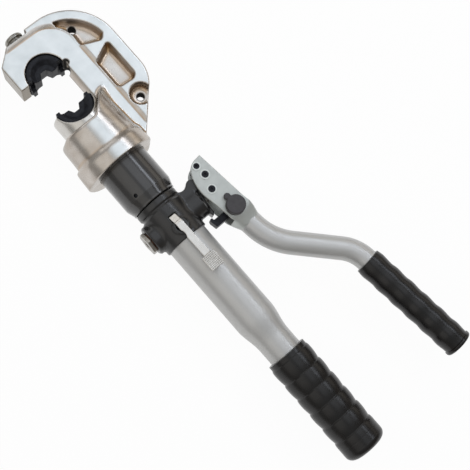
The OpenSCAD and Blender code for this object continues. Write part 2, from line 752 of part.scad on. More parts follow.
module plug_washer() {
    color("peru") difference() {
        rod_x(plug_thread_r + 1.6, -boss_left - washer_t, -boss_left);
        rod_x(plug_thread_r + 0.1, -boss_left - 2, cut - boss_left);
    }
}
module check_ball() {
    color(steel) translate([ball_x, cross_y, 0]) sphere(r = ball_r);
}
module check_spring() {
    wire = 0.45;
    from = plug_depth - boss_left - 3 + wire + 0.1;
    to = ball_x - ball_r * 0.93 - wire;
    color(steel) translate([from, cross_y, 0]) along_x() coil(2.3, wire, (to - from) / 5, 5);
}
module plunger() {
    eye_x = pivot_x - crank_x;
    slot_r = pin_d / 2 + eye_fit;
    color(steel) difference() {
        union() {
            rod_x(plunger_r, chamber_x + 5, boss_right + 2);
            intersection() {
                rod_x(plunger_r, boss_right, eye_x);
                block([0, cross_y - eye_r, -eye_t / 2], [eye_x, cross_y + eye_r, eye_t / 2]);
            }
            rod_z([eye_x, cross_y], eye_r, eye_t);
        }
        for (side = [-1, 1]) rod_z([eye_x, cross_y + side * eye_slack], slot_r, eye_t + 2);
        block([eye_x - slot_r, cross_y - eye_slack, -eye_t], [eye_x + slot_r, cross_y + eye_slack, eye_t]);
    }
}
module plunger_seal() {
    color(rubber) difference() {
        rod_x(plunger_r + 2.5 - seat, boss_right - gland_len - 4 + seat, boss_right - gland_len - seat);
        rod_x(plunger_r + fit, 0, boss_right);
    }
}
module gland_nut() {
    color(dark_steel) difference() {
        rod_x(gland_r, boss_right - gland_len + seat, boss_right);
        rod_x(plunger_r + fit, 0, boss_right + cut);
    }
}

// Bent lever: a leg on the pin, a sloped shoulder, a waisted blade that rises to a thick pad
module release_lever() {
    back = lever_pin_y + lever_leg / 2;
    pad_y = lever_pin_y - lever_len;
    pad_z = lever_z + pad_rise;
    pad_top = pad_z + lever_t + 2;
    bend = 6.5;
    color(steel) difference() {
        union() {
            rotate([90, 0, 90]) translate([0, 0, -lever_w / 2]) linear_extrude(lever_w) polygon([
                [back, lever_pin_z], [back, lever_z + lever_t - bend], [back - bend, lever_z + lever_t],
                [pad_y + pad_len, pad_z + lever_t], [pad_y + 4, pad_z + lever_t], [pad_y + 4, pad_z],
                [pad_y + pad_len, pad_z], [back - lever_leg - 3, lever_z],
                [back - lever_leg, lever_z - 3], [back - lever_leg, lever_pin_z]]);
            translate([0, lever_pin_y, lever_pin_z]) along_x()
                cylinder(h = lever_w, r = lever_leg / 2, center = true);
            rotate([90, 0, 90]) translate([0, 0, -pad_w / 2]) linear_extrude(pad_w) polygon([
                [pad_y + 0.6, pad_z], [pad_y, pad_z + 0.6], [pad_y, pad_top - 0.8], [pad_y + 0.8, pad_top],
                [pad_y + pad_len - 0.8, pad_top], [pad_y + pad_len, pad_top - 0.8],
                [pad_y + pad_len, pad_z]]);
        }
        translate([0, lever_pin_y, lever_pin_z]) along_x()
            cylinder(h = 2 * lever_w, r = lever_pin_d / 2 + fit, center = true);
        translate([-lever_w / 2 - 6.3, waist_y, lever_z - cut]) cylinder(h = 3 * lever_t + cut, r = 7.5);
    }
}
module lever_pin() {
    color(dark_steel) translate([0, lever_pin_y, lever_pin_z]) along_x()
        cylinder(h = 2 * (lever_w / 2 + 5) - 0.2, r = lever_pin_d / 2 - seat / 2, center = true);
}
module release_stem() {
    color(dark_steel) translate([0, valve_y, 0]) {
        translate([0, 0, 6]) cylinder(h = lever_z - gap - 7, r = valve_stem_r);
        translate([0, 0, lever_z - gap - valve_head_h]) cylinder(h = valve_head_h, r = valve_head_r);
    }
}
module release_spring() {
    low = valve_floor_z + valve_spring_wire + 0.1;
    high = lever_z - gap - valve_head_h - valve_spring_wire - 0.1;
    color(steel) translate([0, valve_y, low])
        coil(valve_head_r - valve_spring_wire - 0.2, valve_spring_wire, (high - low) / 5, 5);
}

// Section of the reservoir tube, drawn in by its wall on the inside
module tube_profile(inset) {
    along_y() rotate_extrude() polygon([
        [0, end_y + 6], [neck_r - inset, end_y + 6], [neck_r - inset, neck_y], [tube_r - inset, swage_y],
        [tube_r - inset, tail_y + socket_len - seat], [0, tail_y + socket_len - seat]]);
}
module reservoir_tube() {
    color(silver) difference() {
        tube_profile(0);
        tube_profile(tube_wall);
        rod_y(tube_r - tube_wall, tail_y, tail_y + socket_len + cut);
        rod_y(neck_r - tube_wall, end_y, end_y + 8);
    }
}
module oil_bladder() {
    top = tail_y + socket_len - 0.5;
    r = tube_r - tube_wall - 0.6;
    color(rubber) along_y() rotate_extrude() polygon([
        [nipple_r + seat, top], [nipple_r + bladder_wall, top], [nipple_r + bladder_wall, top - nipple_len],
        [r, top - nipple_len - 8], [r, swage_y + 8], [r - 6, swage_y + 2], [0, swage_y + 2],
        [0, swage_y + 2 + bladder_wall], [r - 6, swage_y + 2 + bladder_wall], [r - bladder_wall, swage_y + 9],
        [r - bladder_wall, top - nipple_len - 8.5], [nipple_r + seat, top - nipple_len - 0.5]]);
}
module bladder_clamp() {
    mid = tail_y + socket_len - nipple_len / 2 - 0.5;
    color(steel) ring_y(nipple_r + bladder_wall + 1.2, nipple_r + bladder_wall + seat, mid - 2.5, mid + 2.5);
}
module tube_cap() {
    color(dark_steel) {
        rod_y(neck_r - tube_wall - seat, end_y + 6, end_y + 6 + cap_len);
        rod_y(neck_r, end_y + 4, end_y + 6 - seat);
        rod_y(neck_r - tube_wall - seat, end_y + 5, end_y + 7);
    }
}
module fixed_grip() {
    bead = 5;
    pitch = (fixed_grip_len - bead - 7) / rib_count;
    r = fixed_grip_r;
    color(rubber) difference() {
        translate([0, grip_y, 0]) rotate([90, 0, 0]) rotate_extrude() polygon(concat(
            [[0, 0], [r - 1.9, 0], [r - 1, 1], [r - 0.9, bead - 1.2], [r - 1.6, bead - 0.4]],
            ribs(r, 0.9, bead, pitch, rib_count),
            arc([r - 7.5, fixed_grip_len - 7], 7, 0, 90, 6),
            [[0, fixed_grip_len]]));
        rod_y(neck_r + seat, end_y + 4 - seat, grip_y + cut);
    }
}

// Stations of the handle's tube, [point, heading]: straight, out, slanted, back and straight
handle_line = concat(
    [[[0, -fork_down - 1], 0]],
    [for (i = [0:bend_steps]) let (t = bend_angle * i / bend_steps)
        [[bend_1_r * (1 - cos(t)), -bend_start - bend_1_r * sin(t)], t]],
    [for (i = [0:bend_steps]) let (t = bend_angle * (1 - i / bend_steps))
        [bend_2_c + bend_2_r * [cos(t), sin(t)], t]],
    [[handle_end - [0, grip_lead + grip_len - 4], 0]]);
// The bent tube, swept along those stations as one outer and one inner skin
module handle_tube() {
    n = len(handle_line);
    m = tube_sides;
    function skin(r) = [for (st = handle_line) for (k = [0:m - 1])
        let (a = 360 * k / m, side = r * cos(a))
        [st[0].x + side * cos(st[1]), st[0].y + side * sin(st[1]), r * sin(a)]];
    function wall(at, flip) = [for (i = [0:n - 2]) for (k = [0:m - 1])
        let (a = at + m * i + k, b = at + m * i + (k + 1) % m, c = a + m, d = b + m)
        each (flip ? [[a, c, b], [b, c, d]] : [[a, b, c], [b, d, c]])];
    function lip(at, flip) = [for (k = [0:m - 1])
        let (a = at + k, b = at + (k + 1) % m, c = a + n * m, d = b + n * m)
        each (flip ? [[a, c, b], [b, c, d]] : [[a, b, c], [b, d, c]])];
    color(silver) in_handle() polyhedron(
        concat(skin(handle_r), skin(handle_r - handle_wall)),
        concat(wall(0, true), wall(n * m, false), lip(0, false), lip(n * m - m, true)));
}
module moving_grip() {
    r = grip_d / 2;
    pitch = (grip_len - 5) / rib_count;
    color(rubber) in_handle() translate([handle_end.x, handle_end.y - grip_lead, 0]) rotate([90, 0, 0])
        difference() {
            rotate_extrude() polygon(concat(
                [[0, 0], [r - 1.2, 0]],
                ribs(r - 0.3, 0.55, 0.8, pitch, rib_count),
                [[r + 0.2, grip_len - 3.6], [r + 0.2, grip_len - 2.4], [r - 2.5, grip_len], [0, grip_len]]));
            translate([0, 0, -cut]) cylinder(h = grip_len - 4 + cut + seat, r = handle_r + seat);
        }
}

// Outline of the fork in the handle's frame, and its taper down to the tube
module fork_form() {
    root = fork_down + 12;
    h = fork_t / 2;
    r = handle_r + 1.2;
    intersection() {
        plate(concat(
            [[fork_out, fork_up], [fork_out, 12 - fork_down], [r, -fork_down - 3], [r, -root],
             [-r, -root], [-r, 4 - root], [2 - fork_in, 10 - fork_down]],
            arc([fork_in + 12, fork_up - 31], 2 * fork_in + 12, 180, 147, 8),
            arc([fork_out - 6.5, fork_up - 15.4], 15.4, 140, 90, 6)), fork_t);
        rotate([90, 0, 90]) translate([0, 0, -50]) linear_extrude(100) polygon([
            [-root, -r], [3 - root, -r], [5 - fork_down, -h], [fork_up + cut, -h],
            [fork_up + cut, h], [5 - fork_down, h], [3 - root, r], [-root, r]]);
        along_y() rotate_extrude() polygon([
            [0, -root - cut], [handle_r + 0.3, -root - cut], [handle_r + 0.3, -root], [r + 0.4, 3 - root],
            [fork_t * 0.72, 6 - fork_down], [fork_t, 6 - fork_down], [fork_t, fork_up + cut],
            [0, fork_up + cut]]);
    }
}
module handle_fork() {
    color(grey_paint) in_handle() difference() {
        fork_form();
        block([-50, 2 - fork_down, -fork_gap / 2], [50, fork_up + cut, fork_gap / 2]);
        rod_z([0, 0], pin_d / 2 + seat, fork_t + 2);
        rod_z(crank, pin_d / 2 + seat, fork_t + 2);
        rod_z([0, stop_up], stop_pin_d / 2 + seat, fork_t + 2);
        rod_z([lock_side, -lock_down], lock_shaft_d / 2 + fit, fork_t + 2);
        translate([0, -fork_down - 1, 0]) rotate([90, 0, 0]) cylinder(h = 20, r = handle_r + seat);
    }
}
// A pin across the fork, with a socket in its end
module fork_pin(p, d) {
    color(dark_steel) in_handle() difference() {
        rod_z(p, d / 2, fork_t + 2 * ring_t);
        for (side = [0, 1]) mirror([0, 0, side]) translate([p.x, p.y, fork_t / 2 - 1])
            cylinder(h = 3, r = d / 4, $fn = 6);
    }
}
module pivot_pin() { fork_pin([0, 0], pin_d); }
module plunger_pin() { fork_pin(crank, pin_d); }
module stop_pin() { fork_pin([0, stop_up], stop_pin_d); }
module pin_ring(p, d) {
    for (side = [0, 1]) mirror([0, 0, side]) translate([p.x, p.y, fork_t / 2]) difference() {
        cylinder(h = ring_t, r = d / 2 + 1.4);
        translate([0, 0, -cut]) cylinder(h = ring_t + 2 * cut, r = d / 2 + seat);
    }
}
module pin_rings() {
    color(steel) in_handle() {
        pin_ring([0, 0], pin_d);
        pin_ring(crank, pin_d);
        pin_ring([0, stop_up], stop_pin_d);
    }
}

module lock_knob() {
    z = fork_t / 2 + gap;
    r = knob_d / 2;
    color(dark_steel) in_handle() translate([lock_side, -lock_down, 0]) difference() {
        union() {
            translate([0, 0, z]) rotate_extrude() polygon([
                [0, 0], [r - 0.8, 0], [r, 0.8], [r, knob_h - 1], [r - 1, knob_h], [0, knob_h]]);
            translate([0.8, r + 2, z]) cylinder(h = knob_h * 0.5, r = 3.2);
            translate([-1.4, 0, z]) cube([4.4, r + 2, knob_h * 0.5]);
        }
        translate([0, 0, z - cut]) cylinder(h = knob_h - 2 + cut, r = lock_shaft_d / 2 + seat);
    }
}
// Shaft and hook: the hook's arm reaches to the pump body, with a nose that lies under the catch tooth
module lock_hook() {
    arm = 3.7;
    nose = 3.3;
    color(black) in_handle() translate([lock_side, -lock_down, 0]) {
        translate([0, 0, -fork_t / 2 - 2.4])
            cylinder(h = fork_t + 2.4 + gap + knob_h - 2.2, r = lock_shaft_d / 2);
        rod_z([0, 0], lock_shaft_d / 2 + 3.4, hook_t);
        rotate(-handle_angle) plate(rounded(
            [[0, -arm], [0, arm], [nose - hook_len, arm], [nose - hook_len, arm + 2.6],
             [0.6 - hook_len, arm + 2.6], [-hook_len, arm], [1.5 - hook_len, -arm]],
            [0.1, 0.1, 1, 0.8, 0.8, 1.5, 1]), hook_t);
    }
}
module lock_clip() {
    color(steel) in_handle() translate([lock_side, -lock_down, -fork_t / 2 - 1.5]) difference() {
        cylinder(h = 1.2, r = lock_shaft_d / 2 + 2);
        translate([0, 0, -cut]) cylinder(h = 4, r = lock_shaft_d / 2 + seat);
    }
}

c_head();
barrel();
swivel_screws();
fixed_die();
button_bush();
button_spring();
die_button();
ram();
moving_die();
die_dowel();
piston_seal();
wear_ring();
rod_wiper();
return_spring();
spring_top_plug();
spring_bottom_plug();
pump_body();
swivel_seal();
hex_plug();
plug_washer();
check_ball();
check_spring();
plunger();
plunger_seal();
gland_nut();
release_lever();
lever_pin();
release_stem();
release_spring();
reservoir_tube();
oil_bladder();
bladder_clamp();
tube_cap();
fixed_grip();
handle_fork();
handle_tube();
moving_grip();
pivot_pin();
plunger_pin();
stop_pin();
pin_rings();
lock_knob();
lock_hook();
lock_clip();
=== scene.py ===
"""Looks of a hand-pumped hydraulic crimping tool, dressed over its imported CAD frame.

Cast and forged pieces are drawn as distance fields with real fillets and turned into meshes, the
reservoir tube is a profile spun about its axis, and Geometry Nodes make what repeats or follows a path.
Shapes are worked out in millimetres in the CAD's own frame and written to the meshes in metres.
"""
import functools
import json
import math

import bpy
import numpy as np
from mathutils import Matrix, Vector


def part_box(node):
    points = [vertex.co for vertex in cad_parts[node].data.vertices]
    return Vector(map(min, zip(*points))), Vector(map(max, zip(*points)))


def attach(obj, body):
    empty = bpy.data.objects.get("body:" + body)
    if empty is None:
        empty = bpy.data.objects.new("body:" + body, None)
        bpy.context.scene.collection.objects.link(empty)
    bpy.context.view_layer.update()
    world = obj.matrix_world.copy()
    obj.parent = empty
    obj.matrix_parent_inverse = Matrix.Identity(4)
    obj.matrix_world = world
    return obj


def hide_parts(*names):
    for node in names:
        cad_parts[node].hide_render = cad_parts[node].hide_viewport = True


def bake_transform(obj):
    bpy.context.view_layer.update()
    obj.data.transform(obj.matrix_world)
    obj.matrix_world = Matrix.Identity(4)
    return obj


MM = 0.001
SIN_60 = 0.866
DIAGONAL = 0.707

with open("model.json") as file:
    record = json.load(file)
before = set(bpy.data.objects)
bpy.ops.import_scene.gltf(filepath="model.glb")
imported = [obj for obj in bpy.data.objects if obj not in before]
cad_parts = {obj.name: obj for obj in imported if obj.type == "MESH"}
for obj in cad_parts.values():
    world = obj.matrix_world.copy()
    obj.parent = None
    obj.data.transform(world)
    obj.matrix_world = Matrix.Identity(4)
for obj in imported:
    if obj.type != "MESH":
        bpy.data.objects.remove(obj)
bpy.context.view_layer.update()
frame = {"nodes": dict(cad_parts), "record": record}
nodes = frame["nodes"]


# Sizes of the CAD model in millimetres, its angles in degrees and its drafts as slopes

DIE_R = 20.0
DIE_T = 28.0
NEST_W = 12.5
EAR_H = 3.0
EAR_W = 4.0
EAR_T = 12.3
EAR_ROOM = 0.3
JAW_OPEN = 39.5
JAW_REACH = 29.5
JAW_H = 43.0
JAW_CHAMFER = (21.1, 17.1)
BUTTON_R = 9.75
BUTTON_TALL = 10.5
BUTTON_SEAT_Y = 27.0
BUTTON_STEM_R = 3.0
BUTTON_PIN_R = 4.0
BUTTON_PIN_LOW = 16.5
BUTTON_SHOULDER_R = 5.6
BUTTON_SHOULDER_TOP = 30.0
BUSH_R = 7.2
CHEEK_T = 30.0
CHEEK_X = 42.0
CHEEK_H = 38.0
CHEEK_R = 26.0
RIM_T = 34.4
RIM_R = 52.8
RIM_W = 9.8
RIM_H = 47.3
RIM_EDGE = 1.6
SPINE_X = 78.3
POCKET_DEPTH = 11.0
POCKET_DRAFT = 0.16
WEB_HOLE_R = 3.7
SPOT_R = 11.3
THROAT_X = 4.0
COLLAR_R = 34.7
COLLAR_TOP = -59.8
SHOULDER_H = 17.4
BROW_X = 7.7 - COLLAR_R
BROW_FALL = 0.64
FLANGE_R = 40.5
FLANGE_H = 21.0
FLANGE_FLAT = 36.0
FLANGE_TAPER = 0.055
FORGING_DRAFT_DEG = 10.0
FOOT_Y = -112.0
RAM_R = 25.5
ROD_R = 22.0
RAM_TOP = -JAW_OPEN - 0.4
RAM_STEP = RAM_TOP - 39.0
RAM_BORE_R = 11.0
DOWEL_R = 2.5
BARREL_R = 26.6
BARREL_TOP = RAM_STEP - 0.3
BODY_R = 23.0
BODY_Y = -160.3
PUMP_NECK_R = 12.0
PUMP_NECK_TOP = -144.3
CROSS_Y = -186.9
TAIL_Y = -208.0
SPIGOT_R = 11.0
OIL_HOLE_R = 3.0
OIL_HOLE_TOP = -195.0
BOSS_R = 15.5
BOSS_LEFT = -28.0
BOSS_STEP = 32.5
BOSS_RIGHT = 37.0
PIVOT = (51.5, -172.0)
PIN_R = 3.5
LUG_T = 25.6
LUG_R = 7.0
LUG_SWEEP_R = 14.7
LUG_SWEEP_DEG = 65.6
HEXAGON_HALF = 10.75
HEXAGON_T = 3.8
PLUG_R = 8.75
LEVER_PIN_Y = CROSS_Y + 2.0
LEVER_PIN_Z = 18.6
LEVER_PIN_R = 1.5
LEVER_W = 7.5
PAD_LOW = LEVER_PIN_Y - 63.0
PAD_LEN = 15.5
PAD_W = 14.5
PAD_Z = 29.0
PAD_T = 4.0
VALVE_Y = TAIL_Y + 12.2
VALVE_R = 7.0
VALVE_HOLE_R = 4.4
HANDLE_TILT_DEG = 6.4
FORK_T = 34.0
FORK_GAP = 26.6
PLUNGER_PIN_AT = (-6.13, -14.31)
STOP_PIN_AT = (0, 11.4)
STOP_PIN_R = 3.0
SOCKET_R = 12.1
SOCKET_Y = -64.0
LOCK_AT = (-2.75, -41.5)
LOCK_SHAFT_R = 4.0
KNOB_R = 9.6
KNOB_TALL = 8.0
KNOB_LOW = FORK_T / 2 + 0.3
NUB_X = 0.8
TUBE_R = 21.0
TUBE_TOP = TAIL_Y + 6.5
NECK_R = 17.3
SWAGE_Y = -311.0
NECK_Y = -328.0
GRIP_Y = -350.0
END_Y = -467.0

# Radial room around a piece that stays, and around one that slides or turns
PRESS_FIT = 0.05
SLIDE_FIT = 0.06

HANDLE_FRAME = (Matrix.Translation((*PIVOT, 0))
                @ Matrix.Rotation(math.radians(HANDLE_TILT_DEG), 4, "Z"))
TOOL_FRAME = Matrix.Identity(4)


def placed(name, data):
    """A new object in the scene."""
    made = bpy.data.objects.new(name, data)
    bpy.context.scene.collection.objects.link(made)
    return made


def cad_box(node):
    """A CAD node's lowest and highest corners, in millimetres."""
    return [[c / MM for c in corner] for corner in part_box(node)]


# Distance fields: negative inside, in millimetres

MARGIN = 3  # steps of empty lattice around a box


def lattice(low, high, step):
    """Sparse x, y and z coordinates of a box of points, with its margin."""
    spans = [np.arange(a - MARGIN * step, b + (MARGIN + 0.5) * step, step, dtype=np.float32)
             for a, b in zip(low, high)]
    return spans[0][:, None, None], spans[1][None, :, None], spans[2][None, None, :]


def join(a, b, fillet):
    """Union whose inner corner is filled by about that radius."""
    blend = np.maximum(fillet - np.abs(a - b), 0) / fillet
    return np.minimum(a, b) - blend * blend * fillet / 4


def meet(a, b, soft):
    """What two fields share, with the edge between them rounded."""
    return -join(-a, -b, soft)


def trim(a, b, soft):
    """What is left of a after b is cut out, with its edge softened."""
    return -join(-a, b, soft)


def shared(*fields):
    """What all the fields share, with sharp edges."""
    return functools.reduce(np.maximum, fields)


def between(along, start, end):
    """Layer from one level to another."""
    return np.maximum(start - along, along - end)


def slab(flat, across, half, soft):
    """Plate of an outline, with its edges rounded by the radius soft."""
    u, v = flat + soft, np.abs(across) - half + soft
    return np.minimum(np.maximum(u, v), 0) + np.hypot(np.maximum(u, 0), np.maximum(v, 0)) - soft


def disc(x, y, centre, r):
    return np.hypot(x - centre[0], y - centre[1]) - r


def outline(x, y, points):
    """Distance to a closed outline of points."""
    near, sign = np.inf, 1.0
    for (ax, ay), (bx, by) in zip(points, points[1:] + points[:1]):
        ex, ey = bx - ax, by - ay
        wx, wy = x - ax, y - ay
        along = np.clip((wx * ex + wy * ey) / (ex * ex + ey * ey), 0, 1)
        near = np.minimum(near, (wx - along * ex) ** 2 + (wy - along * ey) ** 2)
        above, below, left = y >= ay, y < by, ex * wy > ey * wx
        sign = np.where((above & below & left) | ~(above | below | left), -sign, sign)
    return sign * np.sqrt(near)


def arc(centre, r, start, end, count):
    """Points on an arc, angles in degrees."""
    turns = np.radians(np.linspace(start, end, count + 1))
    return [(centre[0] + r * math.cos(t), centre[1] + r * math.sin(t)) for t in turns]


def ramp(value, start, end):
    """Share that goes from 0 at the start to 1 at the end and stays level beyond them."""
    return np.clip((value - start) / (end - start), 0, 1)


def smooth(share):
    """The same share without corners at 0 and 1."""
    return share * share * (3 - 2 * share)


# Meshes

CORNERS = np.array([(i, j, k) for i in (0, 1) for j in (0, 1) for k in (0, 1)])
CELL_EDGES = [(a, b) for a in range(8) for b in range(a + 1, 8)
              if np.abs(CORNERS[a] - CORNERS[b]).sum() == 1]


def sampled(values, points):
    """Values of a lattice between its points."""
    base = np.clip(np.floor(points).astype(int), 0, np.array(values.shape[:3]) - 2)
    part = points - base
    total = 0
    for corner in CORNERS:
        weight = np.prod(np.where(corner, part, 1 - part), axis=1)
        value = values[tuple((base + corner).T)]
        total = total + (weight[:, None] if value.ndim > 1 else weight) * value
    return total


def skin(name, field, low, step, place=TOOL_FRAME):
    """Mesh object of a field's surface, with the field's own normals."""
    inside = field < 0
    size = np.array(field.shape) - 1
    count = sum(inside[i:i + size[0], j:j + size[1], k:k + size[2]].astype(np.int8) for i, j, k in CORNERS)
    cells = np.argwhere((count > 0) & (count < len(CORNERS)))
    values = np.stack([field[tuple((cells + corner).T)] for corner in CORNERS], axis=1)
    total, hits = np.zeros((len(cells), 3)), np.zeros(len(cells))
    for a, b in CELL_EDGES:
        crossed = (values[:, a] < 0) != (values[:, b] < 0)
        along = values[:, a] / np.where(crossed, values[:, a] - values[:, b], 1)
        total += crossed[:, None] * (CORNERS[a] + along[:, None] * (CORNERS[b] - CORNERS[a]))
        hits += crossed
    points = cells + total / hits[:, None]
    index = np.zeros(size, int)
    index[tuple(cells.T)] = np.arange(len(cells))
    quads = []
    for axis in range(3):
        ahead, u, v = (np.eye(3, dtype=int)[(axis + turn) % 3] for turn in range(3))
        near = inside[tuple(slice(0, n - a) for n, a in zip(field.shape, ahead))]
        far = inside[tuple(slice(a, n) for n, a in zip(field.shape, ahead))]
        at = np.argwhere(near != far)
        around = [at, at - u, at - u - v, at - v]
        ring = np.stack([index[tuple(p.T)] for p in around], axis=1)
        leaves = near[tuple(at.T)]
        quads.append(np.where(leaves[:, None], ring, ring[:, ::-1]))
    quads = np.concatenate(quads)
    slope = np.stack(np.gradient(field), axis=-1)
    # two Newton steps bring the points onto the surface
    for _ in range(2):
        g = sampled(slope, points)
        points = points - (sampled(field, points) / np.maximum((g * g).sum(1), 1e-6))[:, None] * g
    normals = sampled(slope, points)
    normals /= np.maximum(np.linalg.norm(normals, axis=1), 1e-9)[:, None]
    turn = np.array(place.to_3x3())
    points = (np.array(low) - MARGIN * step + points * step) @ turn.T + np.array(place.translation)
    normals = normals @ turn.T
    mesh = bpy.data.meshes.new(name)
    mesh.vertices.add(len(points))
    mesh.vertices.foreach_set("co", (points * MM).ravel())
    mesh.loops.add(quads.size)
    mesh.loops.foreach_set("vertex_index", quads.ravel())
    mesh.polygons.add(len(quads))
    mesh.polygons.foreach_set("loop_start", np.arange(0, quads.size, 4))
    mesh.update(calc_edges=True)
    mesh.validate()
    mesh.shade_smooth()
    mesh.normals_split_custom_set_from_vertices(normals)
    return placed(name, mesh), points, normals


def spun(name, profile, sides, sharp):
    """Mesh object of a profile of (radius, y) points spun about the y axis."""
    rings = np.array(profile, float)
    turns = np.linspace(0, 2 * math.pi, sides, endpoint=False)
    points = np.stack([np.outer(rings[:, 0], np.sin(turns)), np.repeat(rings[:, 1:2], sides, axis=1),
                       np.outer(rings[:, 0], np.cos(turns))], axis=-1).reshape(-1, 3)
    faces = []
    for i in range(len(rings) - 1):
        for k in range(sides):
            a, b = i * sides + k, i * sides + (k + 1) % sides
            faces.append((a, b, b + sides, a + sides))
    faces.append(tuple(reversed(range(sides))))
    faces.append(tuple(range((len(rings) - 1) * sides, len(rings) * sides)))
    mesh = bpy.data.meshes.new(name)
    mesh.from_pydata((points * MM).tolist(), [], faces)
    mesh.validate()
    mesh.shade_smooth()
    mesh.set_sharp_from_angle(angle=math.radians(sharp))
    return placed(name, mesh)


# Materials

MATH = "ShaderNodeMath"
MIX = "ShaderNodeMix"
MAP_RANGE = "ShaderNodeMapRange"


def linear(code):
    """Linear colour of an sRGB hex code."""
    parts = [int(code[i:i + 2], 16) / 255 for i in (1, 3, 5)]
    return [c / 12.92 if c <= 0.04045 else ((c + 0.055) / 1.055) ** 2.4 for c in parts] + [1.0]


def add(tree, kind, inputs=None, **settings):
    """Adds a node; an input is a value for its socket, or another node's output to link to it, or a node
    whose first output is linked."""
    made = tree.nodes.new(kind)
    for name, value in settings.items():
        setattr(made, name, value)
    for name, value in (inputs or {}).items():
        if isinstance(value, bpy.types.Node):
            value = value.outputs[0]
        if isinstance(value, bpy.types.NodeSocket):
            tree.links.new(value, made.inputs[name])
        else:
            made.inputs[name].default_value = value
    return made


def finish_of(name, **sockets):
    """A new material: its tree, its surface shader with those sockets set, and Object coordinates."""
    material = bpy.data.materials.new(name)
    material.use_nodes = True
    tree = material.node_tree
    shader = tree.nodes["Principled BSDF"]
    for socket, value in sockets.items():
        shader.inputs[socket.replace("_", " ")].default_value = value
    coords = add(tree, "ShaderNodeTexCoord").outputs["Object"]
    return material, tree, shader, coords


def mottled(tree, coords, size_mm, low, high, detail=4.0):
    """Noise of a real size, spread between two values."""
    scale = 1 / (size_mm * MM)
    noise = add(tree, "ShaderNodeTexNoise", {"Vector": coords, "Scale": scale, "Detail": detail})
    spread = add(tree, MAP_RANGE, {
        "Value": noise, "From Min": 0.3, "From Max": 0.7, "To Min": low, "To Max": high})
    return spread.outputs["Result"]


def tinted(tree, factor, first, second):
    """Mix of two sRGB colours."""
    mix = add(tree, MIX, {0: factor, 6: linear(first), 7: linear(second)}, data_type="RGBA")
    return mix.outputs[2]


def embossed(tree, shader, height, depth_mm):
    """Fine relief of that depth under the shader."""
    bump = add(tree, "ShaderNodeBump", {"Height": height, "Distance": depth_mm * MM, "Strength": 1.0})
    tree.links.new(bump.outputs["Normal"], shader.inputs["Normal"])


def nickel_plated_forging():
    """Nickel plate polished by hand: ground flats bright and slightly clouded, with a share of their colour
    as a painted highlight on lower faces that face along z; walls wavy; painted warm shade and reflection
    in the hollows, painted shade on faces turned sideways and near-black painted shade in drilled holes."""
    material, tree, shader, coords = finish_of("nickel_plated_forging")
    ground_and_highlight, hollow, drilled_shade, side, wall = (
        add(tree, "ShaderNodeAttribute", attribute_name=name).outputs["Fac"]
        for name in ("ground_and_highlight", "hollow", "drilled_shade", "side", "wall"))
    drift = mottled(tree, coords, 14, 0.0, 1.0, detail=2.0)
    colour = tinted(tree, drift, "#cac4be", "#b4aba2")
    bright = tinted(tree, drift, "#dfe3e4", "#d2d7d8")
    # painted light over the nickel's own tone: warm painted shade and reflection in hollows, painted shade
    # on faces turned sideways, the ground flats' bright colour (also a painted highlight on lower faces
    # along z), near-black painted shade in drilled holes
    for share, over in ((hollow, linear("#b3946f")), (side, linear("#7f776b")), (ground_and_highlight, bright),
                        (drilled_shade, linear("#0e0c0b"))):
        colour = add(tree, MIX, {0: share, 6: colour, 7: over}, data_type="RGBA").outputs[2]
    tree.links.new(colour, shader.inputs["Base Color"])
    dull = add(tree, MAP_RANGE, {"Value": ground_and_highlight, "To Min": 0.26, "To Max": 0.32})
    satin = add(tree, MATH, {0: wall, 1: 0.16, 2: dull}, operation="MULTIPLY_ADD")
    uneven = mottled(tree, coords, 8, -0.03, 0.03, detail=1.0)
    rough = add(tree, MATH, {0: satin, 1: uneven}, operation="ADD")
    # full roughness in drilled holes keeps their painted shade black
    matt_in_holes = add(tree, MATH, {0: rough, 1: drilled_shade}, operation="MAXIMUM").outputs[0]
    tree.links.new(matt_in_holes, shader.inputs["Roughness"])
    wave = mottled(tree, coords, 7, 0.0, 1.0, detail=0.0)
    rest = add(tree, MAP_RANGE, {"Value": ground_and_highlight, "To Min": 1.0, "To Max": 0.25})
    polish = add(tree, MATH, {0: wave, 1: rest}, operation="MULTIPLY")
    embossed(tree, shader, polish, 0.03)
    # drilled holes lose their metal so that their painted shade stays dark
    metal_outside_holes = add(tree, MATH, {0: 1.0, 1: drilled_shade}, operation="SUBTRACT").outputs[0]
    tree.links.new(metal_outside_holes, shader.inputs["Metallic"])
    return material


def polished_steel():
    """Ground and polished steel: faint lines along the work and slight clouding."""
    material, tree, shader, coords = finish_of("polished_steel", Metallic=1.0)
    cloud = mottled(tree, coords, 9, 0.0, 1.0, detail=1.0)
    tree.links.new(tinted(tree, cloud, "#d3d1cd", "#c9c6c1"), shader.inputs["Base Color"])
    along = add(tree, "ShaderNodeMapping", {"Vector": coords, "Scale": (1.0, 0.06, 1.0)}).outputs["Vector"]
    lines = mottled(tree, along, 0.8, 0.25, 0.3, detail=1.0)
    tree.links.new(lines, shader.inputs["Roughness"])
    return material


def plain_finish(name, tone, rough, relief=None, tone_detail=4.0, relief_detail=4.0, **sockets):
    """A finish that varies all over by noise of real sizes, in millimetres: tone is a size with two
    colours, rough a size with the least and greatest roughness, and relief a size with a depth."""
    material, tree, shader, coords = finish_of(name, **sockets)
    tone_size, first, second = tone
    shade = mottled(tree, coords, tone_size, 0.0, 1.0, tone_detail)
    tree.links.new(tinted(tree, shade, first, second), shader.inputs["Base Color"])
    tree.links.new(mottled(tree, coords, *rough), shader.inputs["Roughness"])
    if relief:
        relief_size, depth = relief
        embossed(tree, shader, mottled(tree, coords, relief_size, 0.0, 1.0, relief_detail), depth)
    return material


